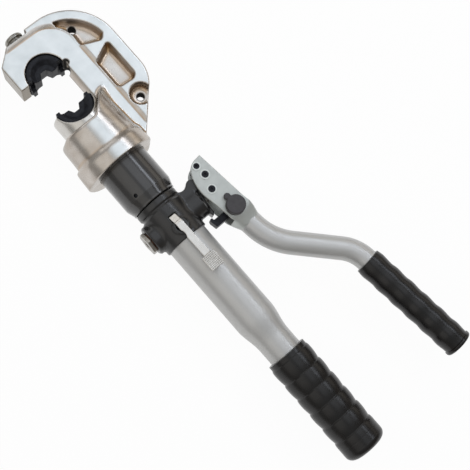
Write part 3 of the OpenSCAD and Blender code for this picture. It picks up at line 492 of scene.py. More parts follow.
FINISHES = {
    "forged_steel": nickel_plated_forging(),
    "bright_steel": polished_steel(),
    # blackened machined steel: blue-black, with rubbed patches and tool marks
    "black_oxide": plain_finish(
        "black_oxide_steel", (3.5, "#1b1c20", "#2b2d33"), (1.6, 0.36, 0.5), (0.6, 0.015),
        Metallic=0.12, Specular_IOR_Level=0.18),
    # sprayed satin black over iron and steel: slight orange peel, dust-grey thin spots
    "black_paint": plain_finish(
        "satin_black_paint", (9, "#131314", "#1b1a1b"), (4, 0.28, 0.4), (1.5, 0.03),
        Coat_Weight=0.3, Coat_Roughness=0.18),
    # satin silver paint: real flake is about 0.05 mm, and it is drawn at 0.5 mm so that it shows
    "silver_paint": plain_finish(
        "silver_metallic_paint", (0.5, "#bcbcbb", "#c5c5c4"), (12, 0.38, 0.43), (2, 0.003),
        tone_detail=1.0, Metallic=0.55),
    # light grey paint with a green cast, over formed sheet: semi-matt with faint texture
    "grey_paint": plain_finish(
        "light_grey_paint", (8, "#b6bab7", "#c0c4c1"), (5, 0.38, 0.44), (1.1, 0.02), Metallic=0.5),
    # moulded rubber: soft gloss on the crowns, fine pores, handling haze
    "black_rubber": plain_finish(
        "grip_rubber", (11, "#0b0a0a", "#120f0f"), (6, 0.26, 0.31), (0.7, 0.003), Specular_IOR_Level=0.42),
    # nitrile rubber of the seals and the oil bladder: dull black
    "seal_rubber": plain_finish("seal_rubber", (3, "#19191a", "#222223"), (2, 0.6, 0.75)),
    # drawn spring steel: dark straw grey with draw marks
    "spring_steel": plain_finish("spring_wire", (2, "#8d8b87", "#a3a19d"), (0.5, 0.28, 0.42), Metallic=1.0),
    # moulded charcoal nylon: matt with a fine spark-eroded texture
    "charcoal_plastic": plain_finish(
        "charcoal_nylon", (5, "#3b393c", "#454346"), (1.2, 0.52, 0.66), (0.6, 0.02)),
    # annealed copper of the plug's washer: tarnished to a dull brown
    "copper": plain_finish("soft_copper", (2, "#6e5040", "#4a382e"), (1, 0.3, 0.45), Metallic=1.0),
    # glass-filled nylon of the guide ring: tan, matt
    "guide_plastic": plain_finish("filled_nylon", (1, "#bda887", "#a8936f"), (1, 0.5, 0.6)),
}
SLOTS = {part["node"]: part["material_slot"] for part in frame["record"]["subparts"]}
BODIES = frame["record"]["behaviour"]["bodies"]
BODY_OF = {node: body for body, members in BODIES.items() for node in members}
FINISH_OF = {node: FINISHES[slot] for node, slot in SLOTS.items()}
FINISH_OF["lock_hook"] = FINISHES["black_oxide"]
# zinc plate on the pins' rings: grey, with a faint crystal pattern
FINISH_OF["pin_rings"] = plain_finish(
    "dull_zinc", (0.8, "#cbcfcc", "#d5d9d6"), (1, 0.45, 0.55), tone_detail=1.0, Metallic=0.6)
# baked black enamel on the turned barrel: a deep gloss with faint ripple and rubbed haze
FINISH_OF["barrel"] = plain_finish(
    "gloss_black_enamel", (12, "#100f0f", "#191616"), (5, 0.3, 0.4), (6, 0.03), relief_detail=1.0,
    Coat_Weight=1.0, Coat_Roughness=0.12)
# bare turned steel of the button and the end plug: grey, with fine tool marks and a trace of oil
FINISH_OF["die_button"] = FINISH_OF["hex_plug"] = plain_finish(
    "turned_steel", (4, "#a9a6a0", "#85827d"), (1.2, 0.26, 0.36), tone_detail=2.0, Metallic=1.0)
for node, cad_object in nodes.items():
    cad_object.data.materials.clear()
    cad_object.data.materials.append(FINISH_OF[node])


def dress(piece, node):
    """The piece stands for a CAD node: it takes the node's finish and moves with its body."""
    piece.data.materials.clear()
    piece.data.materials.append(FINISH_OF[node])
    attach(piece, BODY_OF[node])
    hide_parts(node)


def carved(name, node, field, step, box=None, place=TOOL_FRAME):
    """A field's surface as the piece that stands for a CAD node; the node's own box is the default."""
    low, high = box or cad_box(node)
    piece, _, _ = skin(name, field(*lattice(low, high, step)), low, step, place)
    dress(piece, node)


# Head

SLOPE_DEG = 43.5
SLOPE = math.radians(SLOPE_DEG)
SLOPE_RUN = 55.0
SPINE_R = 35.0
SPINE_C = (SPINE_X - SPINE_R, -46.5)
SLOPE_P = (SPINE_C[0] + SPINE_R * math.cos(SLOPE), SPINE_C[1] - SPINE_R * math.sin(SLOPE))
RIM_C = (SPINE_X - RIM_R, RIM_H - RIM_R)
CHEEK_C = (CHEEK_X - CHEEK_R, CHEEK_H - CHEEK_R)
STEP_RUN = 1.8
RELIEF = (DIE_R + 1.5, -2.5)
RELIEF_R = 3.2
WEB_HOLES = [(SPINE_X - 30.0, 21.8),
             (SLOPE_P[0] - 7.9 * math.cos(SLOPE) - 9.0 * math.sin(SLOPE),
              SLOPE_P[1] + 7.9 * math.sin(SLOPE) - 9.0 * math.cos(SLOPE))]


def collar_field(x, y, z):
    """Collar and foot flange; their tops fall away from the parting plane by the forging's draft."""
    around, up = np.hypot(x, z), np.abs(z)
    fall = math.tan(math.radians(FORGING_DRAFT_DEG)) * up
    front = ramp(up, 5.0, 27.0)
    shoulder = SHOULDER_H * smooth(ramp(x, 3.0, 30.0))
    top = COLLAR_TOP + shoulder - BROW_FALL * np.maximum(BROW_X - x, 0)
    flare = (np.clip(0.035 * (COLLAR_TOP - 3.0 - y), -0.4, 1.0)
             + 1.2 * front * ramp(COLLAR_TOP - y, 5.0, 31.0))
    collar = np.maximum(meet(around - COLLAR_R - flare, 0.8 * (y + fall - top), 2.4), FOOT_Y + 1 - y)
    taper = FLANGE_TAPER * (y - FOOT_Y) + 1.4 * front
    # the parting line is trimmed to a crisp step, which softens towards the forging's top and bottom
    soft = 2.5 + 2.5 * ramp(up, 0.0, 22.0)
    flange = meet(around - FLANGE_R + taper, y + fall - FOOT_Y - FLANGE_H, soft)
    flange = meet(meet(flange, FOOT_Y - y, 1.0), x - FLANGE_FLAT + 0.6, 5.0)
    return join(collar, flange, soft)


def head_field(x, y, z):
    """Forged C-shaped head: rim, cheek band, pockets, collar and foot flange, then its bores."""
    around, up = np.hypot(x, z), np.abs(z)
    foot = (SLOPE_P[0] - SLOPE_RUN * math.sin(SLOPE), SLOPE_P[1] - SLOPE_RUN * math.cos(SLOPE))
    plate = outline(x, y, [(-JAW_REACH, 0.0), (-JAW_REACH, RIM_H - JAW_CHAMFER[1]),
                           (JAW_CHAMFER[0] - JAW_REACH, RIM_H)]
                    + arc(RIM_C, RIM_R, 90, 0, 24) + arc(SPINE_C, SPINE_R, 0, -SLOPE_DEG, 12)
                    + [foot, (THROAT_X, foot[1]), (THROAT_X, 0.0)])
    head = slab(plate, z, RIM_T / 2, RIM_EDGE)
    in_corner = (x > CHEEK_C[0]) & (y > CHEEK_C[1])
    corner = np.where(in_corner, disc(x, y, CHEEK_C, CHEEK_R), -1e3)
    band = shared(x - CHEEK_X, y - CHEEK_H, corner)
    lean = 1 / math.hypot(1, STEP_RUN)
    head = trim(head, shared(lean * (band - STEP_RUN * (up - CHEEK_T / 2)), CHEEK_T / 2 - up), 1.0)
    edge, far = CHEEK_X + 1.2, SPINE_X - RIM_W - 2.0
    upper = outline(x, y, [(edge - 6.7, RIM_H), (edge - 6.7, CHEEK_C[1]), (edge, CHEEK_C[1]), (edge, 3.0),
                           (edge + 1.5, 0.8), (far - 5.0, -6.4), (far - 2.0, -5.6), (far + 3.5, 0.6),
                           (far + 3.5, RIM_H)])
    upper = shared(upper, disc(x, y, RIM_C, RIM_R - RIM_W), -disc(x, y, CHEEK_C, CHEEK_R + 1.5))
    lower = outline(x, y, [(edge + 3.6, -22.2), (far - 3.0, -14.6)]
                    + arc((far - 7.0, -49.0), 4.0, 0, -75, 6)
                    + [(edge + 5.2, -52.0), (edge + 3.6, -49.8)]) - 3.0
    spot = disc(x, y, WEB_HOLES[1], SPOT_R)
    draft = POCKET_DRAFT * (RIM_T / 2 - up)
    floor = RIM_T / 2 - POCKET_DEPTH - up
    for pocket, fillet in ((upper, 6.5), (lower, 5.0), (spot, 5.0)):
        head = trim(head, meet(pocket + draft, floor, fillet), 1.0)
    head = trim(head, shared(x - THROAT_X, y, COLLAR_TOP - 4 - y), 0.8)
    head = join(head, collar_field(x, y, z), 1.2 + 4.0 * ramp(y - COLLAR_TOP, -2.0, 14.0))
    head = trim(head, shared(around - RAM_R - SLIDE_FIT, y, BARREL_TOP - 1 - y), 0.4)
    head = trim(head, shared(around - BARREL_R - PRESS_FIT, y - BARREL_TOP), 0.5)
    head = trim(head, disc(x, y, (0, 0), DIE_R + PRESS_FIT), 0.5)
    head = trim(head, disc(x, y, RELIEF, RELIEF_R), 0.6)
    for hole in WEB_HOLES:
        head = trim(head, disc(x, y, hole, WEB_HOLE_R), 0.8)
    head = trim(head, shared(x - BUTTON_R - 1.0, JAW_H - y), 0.5)
    head = trim(head, shared(around - BUSH_R - PRESS_FIT, BUTTON_SEAT_Y - y), 0.4)
    return trim(head, shared(around - BUTTON_PIN_R - SLIDE_FIT, -y), 0.3)


def forged_head():
    """The head, with attributes that tell its finish where it is ground or faces along z (painted
    highlight), where painted shade lies in hollows, on sideways faces and in drilled holes, and where it is
    steep.
    """
    step = 0.9
    low, high = cad_box("c_head")
    field = head_field(*lattice(low, high, step))
    piece, points, normals = skin("forged_head", field, low, step)
    x, y = points[:, 0], points[:, 1]
    level, up = np.abs(points[:, 2]), np.abs(normals[:, 2])
    on_top = level > CHEEK_T / 2 - 0.6
    bend = sum(np.gradient(g, axis=i) for i, g in enumerate(np.gradient(field))) / step
    curve = sampled(bend, (points - np.array(low)) / step + MARGIN)
    bores = np.minimum(disc(x, y, WEB_HOLES[0], WEB_HOLE_R), disc(x, y, WEB_HOLES[1], WEB_HOLE_R))
    in_pocket = (level < RIM_T / 2 - 0.5) & (x > CHEEK_X - 12.0) & (y > COLLAR_TOP + 10.0)
    # painted shade on faces turned sideways, a third as strong on the collar
    side = ramp(up, 0.45, 0.15) * np.where(y > COLLAR_TOP + 2.0, x < CHEEK_X, 0.35)
    # the rim's outer edge, which gets a dark line of painted shade
    brink = np.where(y > RIM_C[1], disc(x, y, RIM_C, RIM_R), x - SPINE_X) > -RIM_EDGE
    shares = {
        # ground flats on top; other faces that face along z take 0.3 of their colour as a painted highlight
        "ground_and_highlight": np.maximum(ramp(up, 0.965, 0.995) * on_top, 0.3 * ramp(up, 0.97, 1.0) * ~on_top),
        # painted shade and warm reflection where the surface is concave
        "hollow": np.clip(-curve * 3.0, 0, 1),
        # painted shade: near-black inside the web holes and the relief hole
        "drilled_shade": np.maximum(ramp(bores, 0.7, 0.2), 0.9 * ramp(disc(x, y, RELIEF, RELIEF_R), 0.5, 0.1)),
        # painted shade on faces turned sideways and along the rim's outer edge
        "side": np.maximum(side, brink * ramp(up, 0.92, 0.62)),
        "wall": ramp(up, 0.75, 0.45) * in_pocket,
    }
    for name, values in shares.items():
        layer = piece.data.attributes.new(name, "FLOAT", "POINT")
        layer.data.foreach_set("value", values.astype(np.float32))
    dress(piece, "c_head")


forged_head()


# Dies, button and ram

def die_field(x, y, z):
    """Half-round die with its closing face down: hexagonal nest, ears behind, notches in front."""
    r = DIE_R - PRESS_FIT
    ear_x = r - EAR_W - 1.2
    up = np.abs(z)
    rim = disc(x, y, (0, 0), r)
    die = shared(rim, DIAGONAL * (rim + up - DIE_T / 2 + 1.4), slab(-y, z, DIE_T / 2, 0.4))
    recess = shared(0.75 * (disc(x, y, (0, 0), ear_x + 0.4) + 0.9 * (DIE_T / 2 - up)), DIE_T / 2 - 5.0 - up)
    die = trim(die, recess, 1.2)
    half, rise = NEST_W / 2, NEST_W / 2 * SIN_60
    half_hex = [(-half, -1), (half, -1), (half, 0), (half / 2, rise), (-half / 2, rise), (-half, 0)]
    die = trim(die, outline(x, y, half_hex), 0.4)
    side = np.abs(np.abs(x) - ear_x - EAR_W / 2) - EAR_W / 2
    die = trim(die, shared(side - EAR_ROOM, y - EAR_H - EAR_ROOM, -EAR_ROOM - z), 0.4)
    ear = slab(shared(side, between(y, -EAR_H, 2)), z + EAR_ROOM + EAR_T / 2, EAR_T / 2, 0.6)
    return join(die, ear, 0.4)


def upper_die_field(x, y, z):
    """Fixed die, with a blind hole for the button's pin."""
    hole = shared(np.hypot(x, z) - BUTTON_PIN_R - 0.1, DIE_R - 3.8 - y)
    return trim(die_field(x, y, z), hole, 0.3)


def lower_die_field(x, y, z):
    """The same die the other way up, with a blind hole for the ram's dowel."""
    hole = shared(np.hypot(x, z) - DOWEL_R - PRESS_FIT, y + JAW_OPEN + DIE_R - 3.2)
    return trim(die_field(x, -JAW_OPEN - y, -z), hole, 0.3)


def button_field(x, y, z):
    """Pull button: a domed cap over a finger groove, a lower collar with a cross hole, and its stem."""
    around = np.hypot(x, z)
    base, r, tall = JAW_H + 0.3, BUTTON_R, BUTTON_TALL
    top = base + tall
    cap = outline(around, y, [
        (0, base), (r - 1.3, base), (r - 0.7, base + 0.6), (r - 0.7, base + tall * 0.34),
        (r - 2.0, base + tall * 0.4), (r - 2.0, base + tall * 0.5), (r - 0.3, base + tall * 0.56),
        (r, base + tall * 0.62), (r, top - 2.4), (r - 0.9, top - 0.9), (r - 2.8, top), (0, top)])
    cap = trim(cap, shared(disc(x, y, (0, base + tall * 0.19), 1.3), r - 4.0 - np.abs(z)), 0.3)
    cap = trim(cap, shared(around - 3.4, top - 1.2 - y), 0.8)
    stem = shared(around - BUTTON_STEM_R, between(y, BUTTON_SEAT_Y, base + 1))
    shoulder = shared(around - BUTTON_SHOULDER_R,
                      between(y, BUTTON_SEAT_Y + SLIDE_FIT, BUTTON_SHOULDER_TOP))
    pin = shared(around - BUTTON_PIN_R, between(y, BUTTON_PIN_LOW, BUTTON_SEAT_Y + 1))
    return join(join(cap, stem, 0.5), join(shoulder, pin, 0.4), 0.3)


def ram_field(x, y, z):
    """Ram: its head carries the lower die in a half-round seat, and its foot has two grooves for rings."""
    around = np.hypot(x, z)
    foot = cad_box("ram")[0][1]
    ram = outline(around, y, [(0, foot), (ROD_R - 1, foot), (ROD_R, foot + 1), (ROD_R, RAM_STEP),
                              (RAM_R - 0.4, RAM_STEP), (RAM_R, RAM_STEP + 0.4), (RAM_R, RAM_TOP - 1.6),
                              (RAM_R - 0.5, RAM_TOP - 0.5), (RAM_R - 1.6, RAM_TOP), (0, RAM_TOP)])
    ram = trim(ram, shared(around - RAM_BORE_R, y - RAM_STEP - 2), 0.3)
    for height, width, depth in ((foot + 3, 4.0, 2.4), (foot + 9, 5.0, 1.5)):
        ram = trim(ram, shared(between(y, height, height + width), ROD_R - depth - around), 0.2)
    ram = trim(ram, shared(around - DOWEL_R - PRESS_FIT, -JAW_OPEN - DIE_R - 6.2 - y), 0.2)
    return trim(ram, disc(x, y, (0, -JAW_OPEN), DIE_R + PRESS_FIT), 0.5)


carved("upper_die", "fixed_die", upper_die_field, step=0.4)
carved("lower_die", "moving_die", lower_die_field, step=0.4)
carved("die_button_knob", "die_button", button_field, step=0.4)
carved("ram_piston", "ram", ram_field, step=0.7)


# Pump

CROSS_BORES = [  # radius, left end, right end
    (6.5 + SLIDE_FIT, 6, 40), (10.5 + PRESS_FIT, 29, 40), (9.0, 25, 37), (PLUG_R + PRESS_FIT, -32, -21.2),
    (4.5, -32, -4)]


def pump_field(x, y, z):
    """Cast pump body: neck, cross boss, pivot lug with its horn, catch tooth and valve boss; then bores."""
    around, bore = np.hypot(x, z), np.hypot(y - CROSS_Y, z)
    body = outline(around, y, [
        (0, TAIL_Y), (BODY_R - 0.8, TAIL_Y), (BODY_R, TAIL_Y + 0.8), (BODY_R, BODY_Y - 11),
        (BODY_R - 1.4, BODY_Y - 9), (BODY_R - 1.4, BODY_Y - 8), (BODY_R, BODY_Y - 6.5),
        (BODY_R, BODY_Y - 1.0), (BODY_R - 1.0, BODY_Y), (0, BODY_Y)])
    boss = outline(bore, x, [
        (0, BOSS_LEFT), (BOSS_R - 1.4, BOSS_LEFT), (BOSS_R, BOSS_LEFT + 1.4), (BOSS_R, BOSS_STEP),
        (LUG_T / 2, BOSS_STEP + 2), (LUG_T / 2, BOSS_RIGHT - 0.8), (LUG_T / 2 - 0.8, BOSS_RIGHT),
        (0, BOSS_RIGHT)])
    top = PIVOT[1] + LUG_R - 0.5
    horn = outline(x, y, [(14, top), (44, top), (PIVOT[0], PIVOT[1] + LUG_R), (PIVOT[0], PIVOT[1] - LUG_R),
                          (BOSS_RIGHT - 1, PIVOT[1] - LUG_R), (14, CROSS_Y)])
    horn = trim(horn, disc(x, y, (BODY_R + 3, top + 4), 8.3), 1.5)
    across, ahead, reach = x - PIVOT[0], y - PIVOT[1], math.radians(LUG_SWEEP_DEG)
    sweep = shared(np.hypot(across, ahead) - LUG_SWEEP_R, across,
                   -math.sin(reach) * ahead - math.cos(reach) * across)
    lug = slab(trim(horn, sweep, 0.8), z, LUG_T / 2, 1.4)
    lug = join(lug, slab(disc(x, y, PIVOT, LUG_R), z, LUG_T / 2, 0.8), 1.0)
    low_y = CROSS_Y - BOSS_R
    tooth = outline(x, y, [(BOSS_RIGHT - 5.5, low_y + 5), (BOSS_RIGHT, low_y + 8), (BOSS_RIGHT, low_y - 1),
                           (BOSS_RIGHT - 2.4, low_y - 3.9), (BOSS_RIGHT - 3.4, low_y - 3.9)])
    valve = shared(disc(x, y, (0, VALVE_Y), VALVE_R), between(z, 0, BODY_R + 0.2))
    neck = shared(around - PUMP_NECK_R, between(y, BODY_Y - 1, PUMP_NECK_TOP))
    spigot = shared(around - SPIGOT_R, between(y, TAIL_Y - 2.5, TAIL_Y + 1))
    field = join(join(body, boss, 2.6), lug, 3.0)
    field = join(join(field, slab(tooth, z, LUG_T / 4, 0.7), 2.0), valve, 4.0)
    field = join(field, neck, 0.4)
    field = trim(field, shared(around - TUBE_R - PRESS_FIT, SPIGOT_R - around, y - TUBE_TOP), 0.4)
    field = join(field, spigot, 0.3)
    field = trim(field, shared(around - OIL_HOLE_R, y - OIL_HOLE_TOP), 0.3)
    field = trim(field, disc(x, y, PIVOT, PIN_R + SLIDE_FIT), 0.4)
    for r, start, end in CROSS_BORES:
        field = trim(field, shared(bore - r, between(x, start, end)), 0.3)
    field = trim(field, shared(disc(x, y, (0, VALVE_Y), VALVE_HOLE_R), 13 - z), 0.4)
    lever_slot = shared(np.abs(x) - LEVER_W / 2 - 0.3, np.abs(y - LEVER_PIN_Y + 0.75) - 3.75, 15.1 - z)
    return trim(field, lever_slot, 0.6)


def plug_field(x, y, z):
    """End plug: a hexagon with chamfered corners on its threaded plug."""
    (face, _, _), (end, _, _) = cad_box("hex_plug")
    ahead = y - CROSS_Y
    around = np.hypot(ahead, z)
    flats = shared(np.abs(ahead), np.abs(0.5 * ahead + SIN_60 * z), np.abs(0.5 * ahead - SIN_60 * z))
    hexagon = slab(flats - HEXAGON_HALF, x - face - HEXAGON_T / 2, HEXAGON_T / 2, 0.4)
    hexagon = shared(hexagon, 0.8 * (around - 11.7 - 1.3 * (x - face)))
    hexagon = trim(hexagon, shared(around - 4.0, x - face - 0.7), 0.5)
    plug = join(hexagon, shared(around - PLUG_R, between(x, face + 3, end)), 0.3)
    return trim(plug, shared(around - 3, end - 3 - x), 0.2)


def lever_field(x, y, z):
    """Release lever: leg on its pin, bent shoulder, waisted blade and a thick pad."""
    back, pad_end, pin = LEVER_PIN_Y + 2.5, PAD_LOW + PAD_LEN, (LEVER_PIN_Y, LEVER_PIN_Z)
    side = outline(y, z, [(back, LEVER_PIN_Z), (back, 21.5), (back - 0.3, 22.0), (back - 10.5, 28.0),
                          (pad_end, PAD_Z + 2), (PAD_LOW + 4, PAD_Z + 2), (PAD_LOW + 4, PAD_Z),
                          (pad_end, PAD_Z), (back - 8.0, 26.0), (back - 5.0, 23.0),
                          (back - 5.0, LEVER_PIN_Z)])
    blade = slab(side, x, LEVER_W / 2, 0.4)
    foot = slab(disc(y, z, pin, 2.5), x, LEVER_W / 2, 0.3)
    pad = outline(y, z, [(PAD_LOW + 0.8, PAD_Z), (PAD_LOW, PAD_Z + 0.8), (PAD_LOW, PAD_Z + 3.0),
                         (PAD_LOW + 1.0, PAD_Z + PAD_T), (pad_end - 1.0, PAD_Z + PAD_T),
                         (pad_end, PAD_Z + 3.0), (pad_end, PAD_Z)])
    field = join(join(blade, foot, 0.6), slab(pad, x, PAD_W / 2, 0.5), 1.2)
    field = trim(field, disc(y, z, pin, LEVER_PIN_R + SLIDE_FIT), 0.2)
    waist = disc(x, y, (-LEVER_W / 2 - 6.3, CROSS_Y - 17.0), 7.5)
    return trim(field, shared(waist, 25 - z), 0.6)


carved("cast_pump_body", "pump_body", pump_field, step=0.7)
carved("hexagon_plug", "hex_plug", plug_field, step=0.4)
carved("lever_blade", "release_lever", lever_field, step=0.35)


# Moving handle's fork and lock knob, in the handle's own frame

FORK_HOLES = [((0, 0), PIN_R + PRESS_FIT), (PLUNGER_PIN_AT, PIN_R + PRESS_FIT),
              (STOP_PIN_AT, STOP_PIN_R + PRESS_FIT), (LOCK_AT, LOCK_SHAFT_R + SLIDE_FIT)]


def fork_field(x, y, z):
    """Two cheeks of formed sheet that close into a socket for the tube."""
    shape = outline(x, y, [(10.5, 17.0), (10.5, -40.0), (11.2, -46.0), (12.3, -54.0), (SOCKET_R, SOCKET_Y),
                           (-SOCKET_R, SOCKET_Y), (-12.9, -58.0), (-14.0, -42.0)]
                    + arc((28.0, -14.0), 44.0, 180, 147, 10) + arc((4.0, 1.6), 15.4, 140, 90, 8))
    half = SOCKET_R + (FORK_T / 2 - SOCKET_R) * smooth(ramp(y, SOCKET_Y, SOCKET_Y + 17.0))
    form = slab(shape, z * (FORK_T / 2) / half, FORK_T / 2, 0.9)
    root_top = SOCKET_Y + 18.0
    root = np.hypot(x, z) - SOCKET_R + PRESS_FIT - 12.5 * ramp(y, SOCKET_Y, root_top) ** 1.3
    field = meet(form, np.where(y < root_top, root, -9.0), 5.0)
    field = trim(field, shared(np.abs(z) - FORK_GAP / 2, -50.0 - y), 0.8)
    for at, r in FORK_HOLES:
        field = trim(field, disc(x, y, at, r), 0.3)
    return field


def knob_field(x, y, z):
    """Lock knob: a flat disc with a rounded rim and a thumb nub."""
    around = np.hypot(x, y)
    knob = slab(around - KNOB_R, z - KNOB_LOW - KNOB_TALL / 2, KNOB_TALL / 2, 1.1)
    height = z - KNOB_LOW - KNOB_TALL / 4
    nub = slab(disc(x, y, (NUB_X, KNOB_R + 2.0), 3.2), height, KNOB_TALL / 4, 0.8)
    neck = slab(shared(np.abs(x - NUB_X) - 2.2, between(y, 0, KNOB_R + 2)), height, KNOB_TALL / 4, 0.6)
    field = join(knob, join(nub, neck, 1.5), 1.5)
    return trim(field, shared(around - LOCK_SHAFT_R - PRESS_FIT, z - KNOB_LOW - KNOB_TALL + 2), 0.2)


FORK_BOX = ((-17.0, -65.0, -FORK_T / 2), (14.0, 17.5, FORK_T / 2))
KNOB_BOX = ((-KNOB_R, -KNOB_R, KNOB_LOW), (KNOB_R, KNOB_R + 5.5, KNOB_LOW + KNOB_TALL))
carved("handle_cheeks", "handle_fork", fork_field, step=0.55, box=FORK_BOX, place=HANDLE_FRAME)
carved("thumb_knob", "lock_knob", knob_field, step=0.4, box=KNOB_BOX,
       place=HANDLE_FRAME @ Matrix.Translation((*LOCK_AT, 0)))


# Reservoir tube

def eased(start, end, count):
    """Profile points that leave one radius and meet the next without a corner."""
    return [(start[0] + (end[0] - start[0]) * smooth(t), start[1] + (end[1] - start[1]) * t)
            for t in np.linspace(0, 1, count)]


def reservoir_sleeve():
    """Reservoir tube, swaged down towards the grip in one soft step."""
    profile = ([(NECK_R - 1.5, END_Y + 6), (NECK_R, END_Y + 6)]
               + eased((NECK_R, NECK_Y - 5), (TUBE_R, SWAGE_Y + 6), 20)
               + [(TUBE_R, TUBE_TOP - 0.6), (TUBE_R - 0.5, TUBE_TOP - PRESS_FIT),
                  (TUBE_R - 1.5, TUBE_TOP - PRESS_FIT)])
    dress(spun("reservoir_sleeve", profile, sides=128, sharp=35), "reservoir_tube")


reservoir_sleeve()


# Geometry Nodes: what repeats or follows a path, in millimetres

SEAM = 0.002
KNURL_TIP = 0.68


def grower(name, sizes):
    """A new tree with those named inputs, a finish and one geometry going in and out."""
    tree = bpy.data.node_groups.new(name, "GeometryNodeTree")
    tree.is_modifier = True
    inputs = [("Geometry", "Geometry"), *((size, "Float") for size in sizes), ("Finish", "Material")]
    for label, kind in inputs:
        tree.interface.new_socket(label, in_out="INPUT", socket_type="NodeSocket" + kind)
    tree.interface.new_socket("Geometry", in_out="OUTPUT", socket_type="NodeSocketGeometry")
    return tree, add(tree, "NodeGroupInput").outputs


def ended(tree, geometry, finish):
    """Last nodes of a tree: one smooth real mesh with its finish."""
    whole = add(tree, "GeometryNodeRealizeInstances", {"Geometry": geometry})
    shaded = add(tree, "GeometryNodeSetShadeSmooth", {"Geometry": whole})
    painted = add(tree, "GeometryNodeSetMaterial", {"Geometry": shaded, "Material": finish})
    add(tree, "NodeGroupOutput", {"Geometry": painted})
    return tree


def grown(name, tree, data, node, place, sharp, **sizes):
    """Plain mesh object of what the tree makes from some data, put in its place."""
    seed = placed(name + "_seed", data)
    modifier = seed.modifiers.new("grow", "NODES")
    modifier.node_group = tree
    values = {size.replace("_", " "): value for size, value in sizes.items()}
    values["Finish"] = FINISH_OF[node]
    for socket in tree.interface.items_tree:
        if socket.in_out == "INPUT" and socket.name in values:
            modifier[socket.identifier] = values[socket.name]
    ready = seed.evaluated_get(bpy.context.evaluated_depsgraph_get())
    mesh = bpy.data.meshes.new_from_object(ready)
    bpy.data.objects.remove(seed)
    mesh.name = name
    mesh.transform(Matrix.Scale(MM, 4) @ place)
    mesh.set_sharp_from_angle(angle=math.radians(sharp))
    return placed(name, mesh)


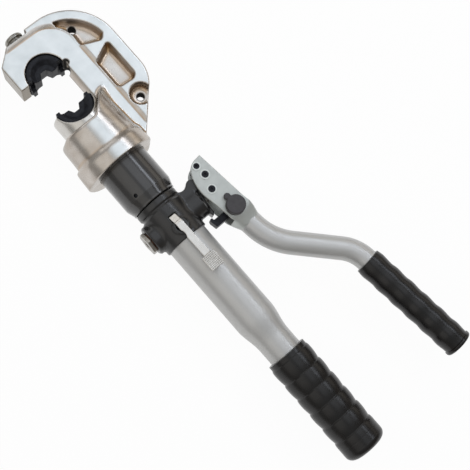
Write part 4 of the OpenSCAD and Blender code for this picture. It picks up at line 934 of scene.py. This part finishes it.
def ribbed_grip_tree():
    """A grip spun about -y: rows of a grid become its bore, bead, barrel ribs and rounded end."""
    tree, size = grower("ribbed_grip", (
        "Radius", "Bore", "Bore Depth", "Length", "Bead", "Bead Drop", "Pitch", "Dip", "Power", "Soft",
        "Skew", "Ribs End", "Lip", "End Round", "Rows", "Sides"))
    sheet = add(tree, "GeometryNodeMeshGrid", {
        "Size X": 1.0, "Size Y": 1.0, "Vertices X": size["Sides"], "Vertices Y": size["Rows"]})
    spot = add(tree, "GeometryNodeInputPosition")
    at = add(tree, "ShaderNodeSeparateXYZ", {"Vector": spot}).outputs
    turn = add(tree, MATH, {0: at["X"], 1: 2 * math.pi}, operation="MULTIPLY")
    last = add(tree, MATH, {0: size["Rows"], 1: 1.0}, operation="SUBTRACT")
    row = add(tree, MAP_RANGE, {
        "Value": at["Y"], "From Min": -0.5, "From Max": 0.5, "To Min": 0.0, "To Max": last})
    rim = add(tree, MATH, {0: last, 1: 1.0}, operation="SUBTRACT")
    down = add(tree, MAP_RANGE, {
        "Value": row, "From Min": 2.0, "From Max": rim, "To Min": 0.0, "To Max": size["Length"]})
    # barrel ribs between the bead and the lip
    past = add(tree, MATH, {0: down, 1: size["Bead"]}, operation="SUBTRACT")
    count = add(tree, MATH, {0: past, 1: size["Pitch"]}, operation="DIVIDE")
    part = add(tree, MATH, {0: count}, operation="FRACT")
    drawn_up = add(tree, MATH, {0: part, 1: size["Skew"]}, operation="POWER")
    side = add(tree, MATH, {0: drawn_up, 1: 2.0, 2: -1.0}, operation="MULTIPLY_ADD")
    away = add(tree, MATH, {0: side}, operation="ABSOLUTE")
    fall = add(tree, MATH, {0: away, 1: size["Power"]}, operation="POWER")
    wave = add(tree, MAP_RANGE, {"Value": away}, interpolation_type="SMOOTHSTEP")
    groove = add(tree, MIX, {0: size["Soft"], 2: fall, 3: wave})
    dip = add(tree, MATH, {0: groove, 1: size["Dip"]}, operation="MULTIPLY")
    rib = add(tree, MATH, {0: size["Radius"], 1: dip}, operation="SUBTRACT")
    in_bead = add(tree, MATH, {0: down, 1: size["Bead"]}, operation="LESS_THAN")
    bead_r = add(tree, MATH, {0: size["Radius"], 1: size["Bead Drop"]}, operation="SUBTRACT")
    upper = add(tree, MIX, {0: in_bead, 2: rib, 3: bead_r})
    in_lip = add(tree, MATH, {0: down, 1: size["Ribs End"]}, operation="GREATER_THAN")
    lip_r = add(tree, MATH, {0: size["Radius"], 1: size["Lip"]}, operation="ADD")
    outer = add(tree, MIX, {0: in_lip, 2: upper, 3: lip_r})
    # the far end is rounded by a quarter circle
    left = add(tree, MATH, {0: size["Length"], 1: down}, operation="SUBTRACT")
    inward = add(tree, MATH, {0: size["End Round"], 1: left}, operation="SUBTRACT")
    bent = add(tree, MATH, {0: inward, 1: 0.0}, operation="MAXIMUM")
    bent_2 = add(tree, MATH, {0: bent, 1: bent}, operation="MULTIPLY")
    round_2 = add(tree, MATH, {0: size["End Round"], 1: size["End Round"]}, operation="MULTIPLY")
    rest_2 = add(tree, MATH, {0: round_2, 1: bent_2}, operation="SUBTRACT")
    rest = add(tree, MATH, {0: rest_2}, operation="SQRT")
    drawn = add(tree, MATH, {0: size["End Round"], 1: rest}, operation="SUBTRACT")
    wall = add(tree, MATH, {0: outer, 1: drawn}, operation="SUBTRACT")
    # rows 0 to 2 are the middle, edge and mouth of the bore; the first and last row close on the axis
    in_bore = add(tree, MATH, {0: row, 1: 2.5}, operation="LESS_THAN")
    skin_r = add(tree, MIX, {0: in_bore, 2: wall, 3: size["Bore"]})
    off_floor = add(tree, MATH, {0: row, 1: 0.5}, operation="GREATER_THAN")
    end_row = add(tree, MATH, {0: last, 1: 0.5}, operation="SUBTRACT")
    off_end = add(tree, MATH, {0: row, 1: end_row}, operation="LESS_THAN")
    off_axis = add(tree, MATH, {0: off_floor, 1: off_end}, operation="MULTIPLY")
    r = add(tree, MATH, {0: skin_r, 1: off_axis}, operation="MULTIPLY")
    on_floor = add(tree, MATH, {0: row, 1: 1.5}, operation="LESS_THAN")
    depth = add(tree, MIX, {0: on_floor, 2: down, 3: size["Bore Depth"]})
    sine = add(tree, MATH, {0: turn}, operation="SINE")
    cosine = add(tree, MATH, {0: turn}, operation="COSINE")
    x = add(tree, MATH, {0: r, 1: sine}, operation="MULTIPLY")
    z = add(tree, MATH, {0: r, 1: cosine}, operation="MULTIPLY")
    y = add(tree, MATH, {0: depth, 1: -1.0}, operation="MULTIPLY")
    place = add(tree, "ShaderNodeCombineXYZ", {"X": x, "Y": y, "Z": z})
    shaped = add(tree, "GeometryNodeSetPosition", {"Geometry": sheet, "Position": place})
    closed = add(tree, "GeometryNodeMergeByDistance", {"Geometry": shaped, "Distance": SEAM})
    return ended(tree, closed, size["Finish"])


def bent_tube_tree():
    """A round tube along a path whose corners are bent to two radii."""
    tree, size = grower("bent_tube", ("Radius", "First Bend", "Second Bend"))
    index = add(tree, "GeometryNodeInputIndex")
    second = add(tree, MATH, {0: index, 1: 1.5}, operation="GREATER_THAN")
    bend = add(tree, MIX, {0: second, 2: size["First Bend"], 3: size["Second Bend"]})
    path = add(tree, "GeometryNodeFilletCurve", {"Curve": size["Geometry"], "Count": 32, "Radius": bend},
               mode="POLY")
    circle = add(tree, "GeometryNodeCurvePrimitiveCircle", {"Resolution": 72, "Radius": size["Radius"]})
    tube = add(tree, "GeometryNodeCurveToMesh", {"Curve": path, "Profile Curve": circle, "Fill Caps": True})
    return ended(tree, tube, size["Finish"])


def knurl_tree():
    """Rows of small blunt pyramids on a flat face."""
    tree, size = grower("knurl", ("Width", "Length", "Columns", "Rows", "Pitch", "Height"))
    field = add(tree, "GeometryNodeMeshGrid", {"Size X": size["Width"], "Size Y": size["Length"],
                                               "Vertices X": size["Columns"], "Vertices Y": size["Rows"]})
    half = add(tree, MATH, {0: size["Pitch"], 1: math.sqrt(0.5)}, operation="MULTIPLY")
    tip = add(tree, MATH, {0: half, 1: KNURL_TIP}, operation="MULTIPLY")
    spike = add(tree, "GeometryNodeMeshCone", {"Vertices": 4, "Radius Top": tip, "Radius Bottom": half,
                                               "Depth": size["Height"]})
    spikes = add(tree, "GeometryNodeInstanceOnPoints", {
        "Points": field, "Instance": spike, "Rotation": (0, 0, math.pi / 4)})
    return ended(tree, spikes, size["Finish"])


GRIP_TREE = ribbed_grip_tree()
HANDLE_SHARP = 40
BEND_ANGLE = 37.2
BEND_START = 67.5
BEND_1_R = 62.0
BEND_2_R = 40.4
SLANT_LEN = 50.0
HANDLE_R = 11.8
MOVING_GRIP_LEN = 121.0
MOVING_GRIP_LEAD = 2.0
MOVING_GRIP_END = 4.2


def handle_corners():
    """Corners of the handle's centre line in the handle's frame, before they are bent round."""
    half = math.tan(math.radians(BEND_ANGLE / 2))
    first = Vector((0, -BEND_START - BEND_1_R * half, 0))
    run = BEND_1_R * half + SLANT_LEN + BEND_2_R * half
    lean = math.radians(BEND_ANGLE)
    second = first + run * Vector((math.sin(lean), -math.cos(lean), 0))
    grip_top = second.y - BEND_2_R * half
    return [Vector((0, -53.0, 0)), first, second, Vector((second.x, grip_top, 0))]


def handle_tube_and_grip():
    """Moving handle's tube, bent in an S, and its wavy grip."""
    corners = handle_corners()
    grip_top = corners[3] - Vector((0, MOVING_GRIP_LEAD, 0))
    ribs_end = MOVING_GRIP_LEN - MOVING_GRIP_END
    path = bpy.data.curves.new("handle_path", "CURVE")
    path.dimensions = "3D"
    line = path.splines.new("POLY")
    ends = corners[:3] + [grip_top - Vector((0, ribs_end, 0))]
    line.points.add(len(ends) - 1)
    for point, corner in zip(line.points, ends):
        point.co = (*corner, 1)
    tube = grown("bent_handle_tube", bent_tube_tree(), path, "handle_tube", HANDLE_FRAME, HANDLE_SHARP,
                 Radius=HANDLE_R, First_Bend=BEND_1_R, Second_Bend=BEND_2_R)
    dress(tube, "handle_tube")
    grip = grown("wavy_grip", GRIP_TREE, bpy.data.meshes.new("grip_sheet"), "moving_grip",
                 HANDLE_FRAME @ Matrix.Translation(grip_top), HANDLE_SHARP,
                 Radius=14.7, Bore=HANDLE_R + PRESS_FIT, Bore_Depth=MOVING_GRIP_LEN - 4.0,
                 Length=MOVING_GRIP_LEN, Bead=0.8, Bead_Drop=1.0, Pitch=(MOVING_GRIP_LEN - 5.0) / 6,
                 Dip=0.8, Power=2.0, Soft=1.0, Skew=0.7, Ribs_End=ribs_end, Lip=0.4, End_Round=2.4,
                 Rows=280.0, Sides=97.0)
    dress(grip, "moving_grip")


def fixed_handle_grip():
    """Grip with barrel ribs on the reservoir tube's neck."""
    length, bead, pitch = 117.0, 5.0, 17.8
    grip = grown("barrel_rib_grip", GRIP_TREE, bpy.data.meshes.new("grip_sheet"), "fixed_grip",
                 Matrix.Translation((0, GRIP_Y, 0)), HANDLE_SHARP,
                 Radius=22.0, Bore=NECK_R + PRESS_FIT, Bore_Depth=length - 4.05, Length=length, Bead=bead,
                 Bead_Drop=1.1, Pitch=pitch, Dip=1.3, Power=2.4, Soft=0.0, Skew=0.6,
                 Ribs_End=bead + 5.5 * pitch, Lip=0.0, End_Round=7.0, Rows=300.0, Sides=129.0)
    dress(grip, "fixed_grip")


def lever_knurl():
    """Knurl on the lever's pad, sunk slightly into it; it stands for no CAD node."""
    pitch, across, along, sunk = 1.7, 8, 9, 0.02
    middle = Vector((0, PAD_LOW + PAD_LEN / 2, PAD_Z + PAD_T - sunk))
    knurl = grown("lever_knurl", knurl_tree(), bpy.data.meshes.new("knurl_seed"), "release_lever",
                  Matrix.Translation(middle), 20, Width=pitch * (across - 1), Length=pitch * (along - 1),
                  Columns=float(across), Rows=float(along), Pitch=pitch, Height=0.45)
    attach(knurl, BODY_OF["release_lever"])


def live_spring(node, axis):
    """A copy of a CAD spring's coil, put in place of the node, which is hidden."""
    coil = placed(node + "_coil", nodes[node].data.copy())
    low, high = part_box(node)
    start = (low + high) / 2
    end = start.copy()
    start[axis] = low[axis]
    end[axis] = high[axis]
    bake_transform(coil)
    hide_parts(node)


handle_tube_and_grip()
fixed_handle_grip()
lever_knurl()
ALONG_Y, ALONG_Z = 1, 2
live_spring("return_spring", ALONG_Y)
live_spring("button_spring", ALONG_Y)
live_spring("release_spring", ALONG_Z)


# Studio

FLOOR_Z = -FLANGE_R
FLOOR_HALF_M = 3.0
FLOOR_GLOW = 0.96
VIEW_TURN = 48.84
VIEW_ROLL = 13.0
VIEW_PITCH = 3.5
VIEW_DISTANCE = 876.0
VIEW_OFFSET = (37.4, -233.7)
LENS_RATIO = 903 / 470
LIGHT_SIDE = (-0.3, 0.2, 1.0)
MIDDLE = Vector((30.0, -190.0, 0.0))


def seen_white(tree):
    """One where a camera, a mirror or a glass looks straight at the surface."""
    path = add(tree, "ShaderNodeLightPath").outputs
    first = add(tree, MATH, {0: path["Is Camera Ray"], 1: path["Is Glossy Ray"]}, operation="MAXIMUM")
    return add(tree, MATH, {0: first, 1: path["Is Transmission Ray"]}, operation="MAXIMUM")


def pale_floor():
    """Matt white paper that glows faintly to the camera, so that only a soft shadow is left on it."""
    material = bpy.data.materials.new("white_paper")
    material.use_nodes = True
    tree = material.node_tree
    tree.nodes.clear()
    paper = add(tree, "ShaderNodeBsdfDiffuse", {"Color": linear("#f4f4f4")})
    glow = add(tree, "ShaderNodeEmission", {"Color": (1, 1, 1, 1), "Strength": 1.0})
    share = add(tree, MATH, {0: seen_white(tree), 1: FLOOR_GLOW}, operation="MULTIPLY")
    mix = add(tree, "ShaderNodeMixShader", {0: share, 1: paper, 2: glow})
    add(tree, "ShaderNodeOutputMaterial", {"Surface": mix})
    mesh = bpy.data.meshes.new("floor")
    corners = [(u * FLOOR_HALF_M, v * FLOOR_HALF_M, FLOOR_Z * MM)
               for u, v in ((-1, -1), (1, -1), (1, 1), (-1, 1))]
    mesh.from_pydata(corners, [], [(0, 1, 2, 3)])
    mesh.materials.append(material)
    placed("floor", mesh)


def soft_room():
    """Pale surroundings that darken towards the horizon, least on the side of the window."""
    world = bpy.data.worlds.new("soft_room")
    world.use_nodes = True
    tree = world.node_tree
    tree.nodes.clear()
    way = add(tree, "ShaderNodeTexCoord").outputs["Generated"]
    height = add(tree, "ShaderNodeVectorMath", {0: way, 1: LIGHT_SIDE}, operation="DOT_PRODUCT")
    sky = add(tree, "ShaderNodeValToRGB", {"Fac": height.outputs["Value"]})
    for spot, colour in zip(sky.color_ramp.elements, ("#938b82", "#c6c9cb")):
        spot.color = linear(colour)
    middle = sky.color_ramp.elements.new(0.55)
    middle.color = linear("#a5a4a1")
    shade = add(tree, "ShaderNodeBackground", {"Color": sky, "Strength": 0.9})
    add(tree, "ShaderNodeOutputWorld", {"Surface": shade})
    bpy.context.scene.world = world


def softbox(name, at, across, along, power, colour):
    """Rectangular lamp that faces the tool's middle, with its length along the tool, in millimetres."""
    lamp = bpy.data.lights.new(name, "AREA")
    lamp.shape = "RECTANGLE"
    lamp.size, lamp.size_y = across * MM, along * MM
    lamp.energy = power
    lamp.color = linear(colour)[:3]
    away = (Vector(at) - MIDDLE).normalized()
    side = Vector((0, 1, 0)).cross(away).normalized()
    facing = Matrix((side, away.cross(side), away)).transposed().to_4x4()
    placed(name, lamp).matrix_world = Matrix.Translation(Vector(at) * MM) @ facing


def photo_camera():
    """Camera at the photo's viewpoint, with the photo's field of view."""
    turn, roll, pitch = (math.radians(a) for a in (VIEW_TURN, VIEW_ROLL, VIEW_PITCH))
    tilt = Matrix.Rotation(-pitch, 3, "X") @ Matrix.Rotation(roll, 3, "Y")
    across, along, back = tilt
    right = math.sin(turn) * across - math.cos(turn) * along
    up = math.cos(turn) * across + math.sin(turn) * along
    eye = tilt.transposed() @ Vector((*VIEW_OFFSET, VIEW_DISTANCE))
    camera = bpy.data.cameras.new("camera")
    camera.sensor_width = 36.0
    camera.lens = LENS_RATIO * camera.sensor_width
    holder = placed("camera", camera)
    facing = Matrix((right, up, back)).transposed().to_4x4()
    holder.matrix_world = Matrix.Translation(eye * MM) @ facing
    bpy.context.scene.camera = holder


pale_floor()
soft_room()
softbox("overhead_softbox", (220.0, -60.0, 1100.0), 620.0, 1500.0, 1.95, "#f4f8ff")
softbox("bright_strip", (740.0, -60.0, 900.0), 170.0, 1500.0, 3.1, "#ecf3ff")
softbox("head_end_fill", (0.0, 950.0, 520.0), 900.0, 500.0, 1.3, "#ffffff")
softbox("left_fill", (-740.0, -100.0, 880.0), 1000.0, 1400.0, 1.9, "#fff6ea")
softbox("right_fill", (950.0, -100.0, 360.0), 300.0, 1200.0, 0.9, "#f6efe2")
photo_camera()
bpy.context.scene.view_settings.view_transform = "Standard"
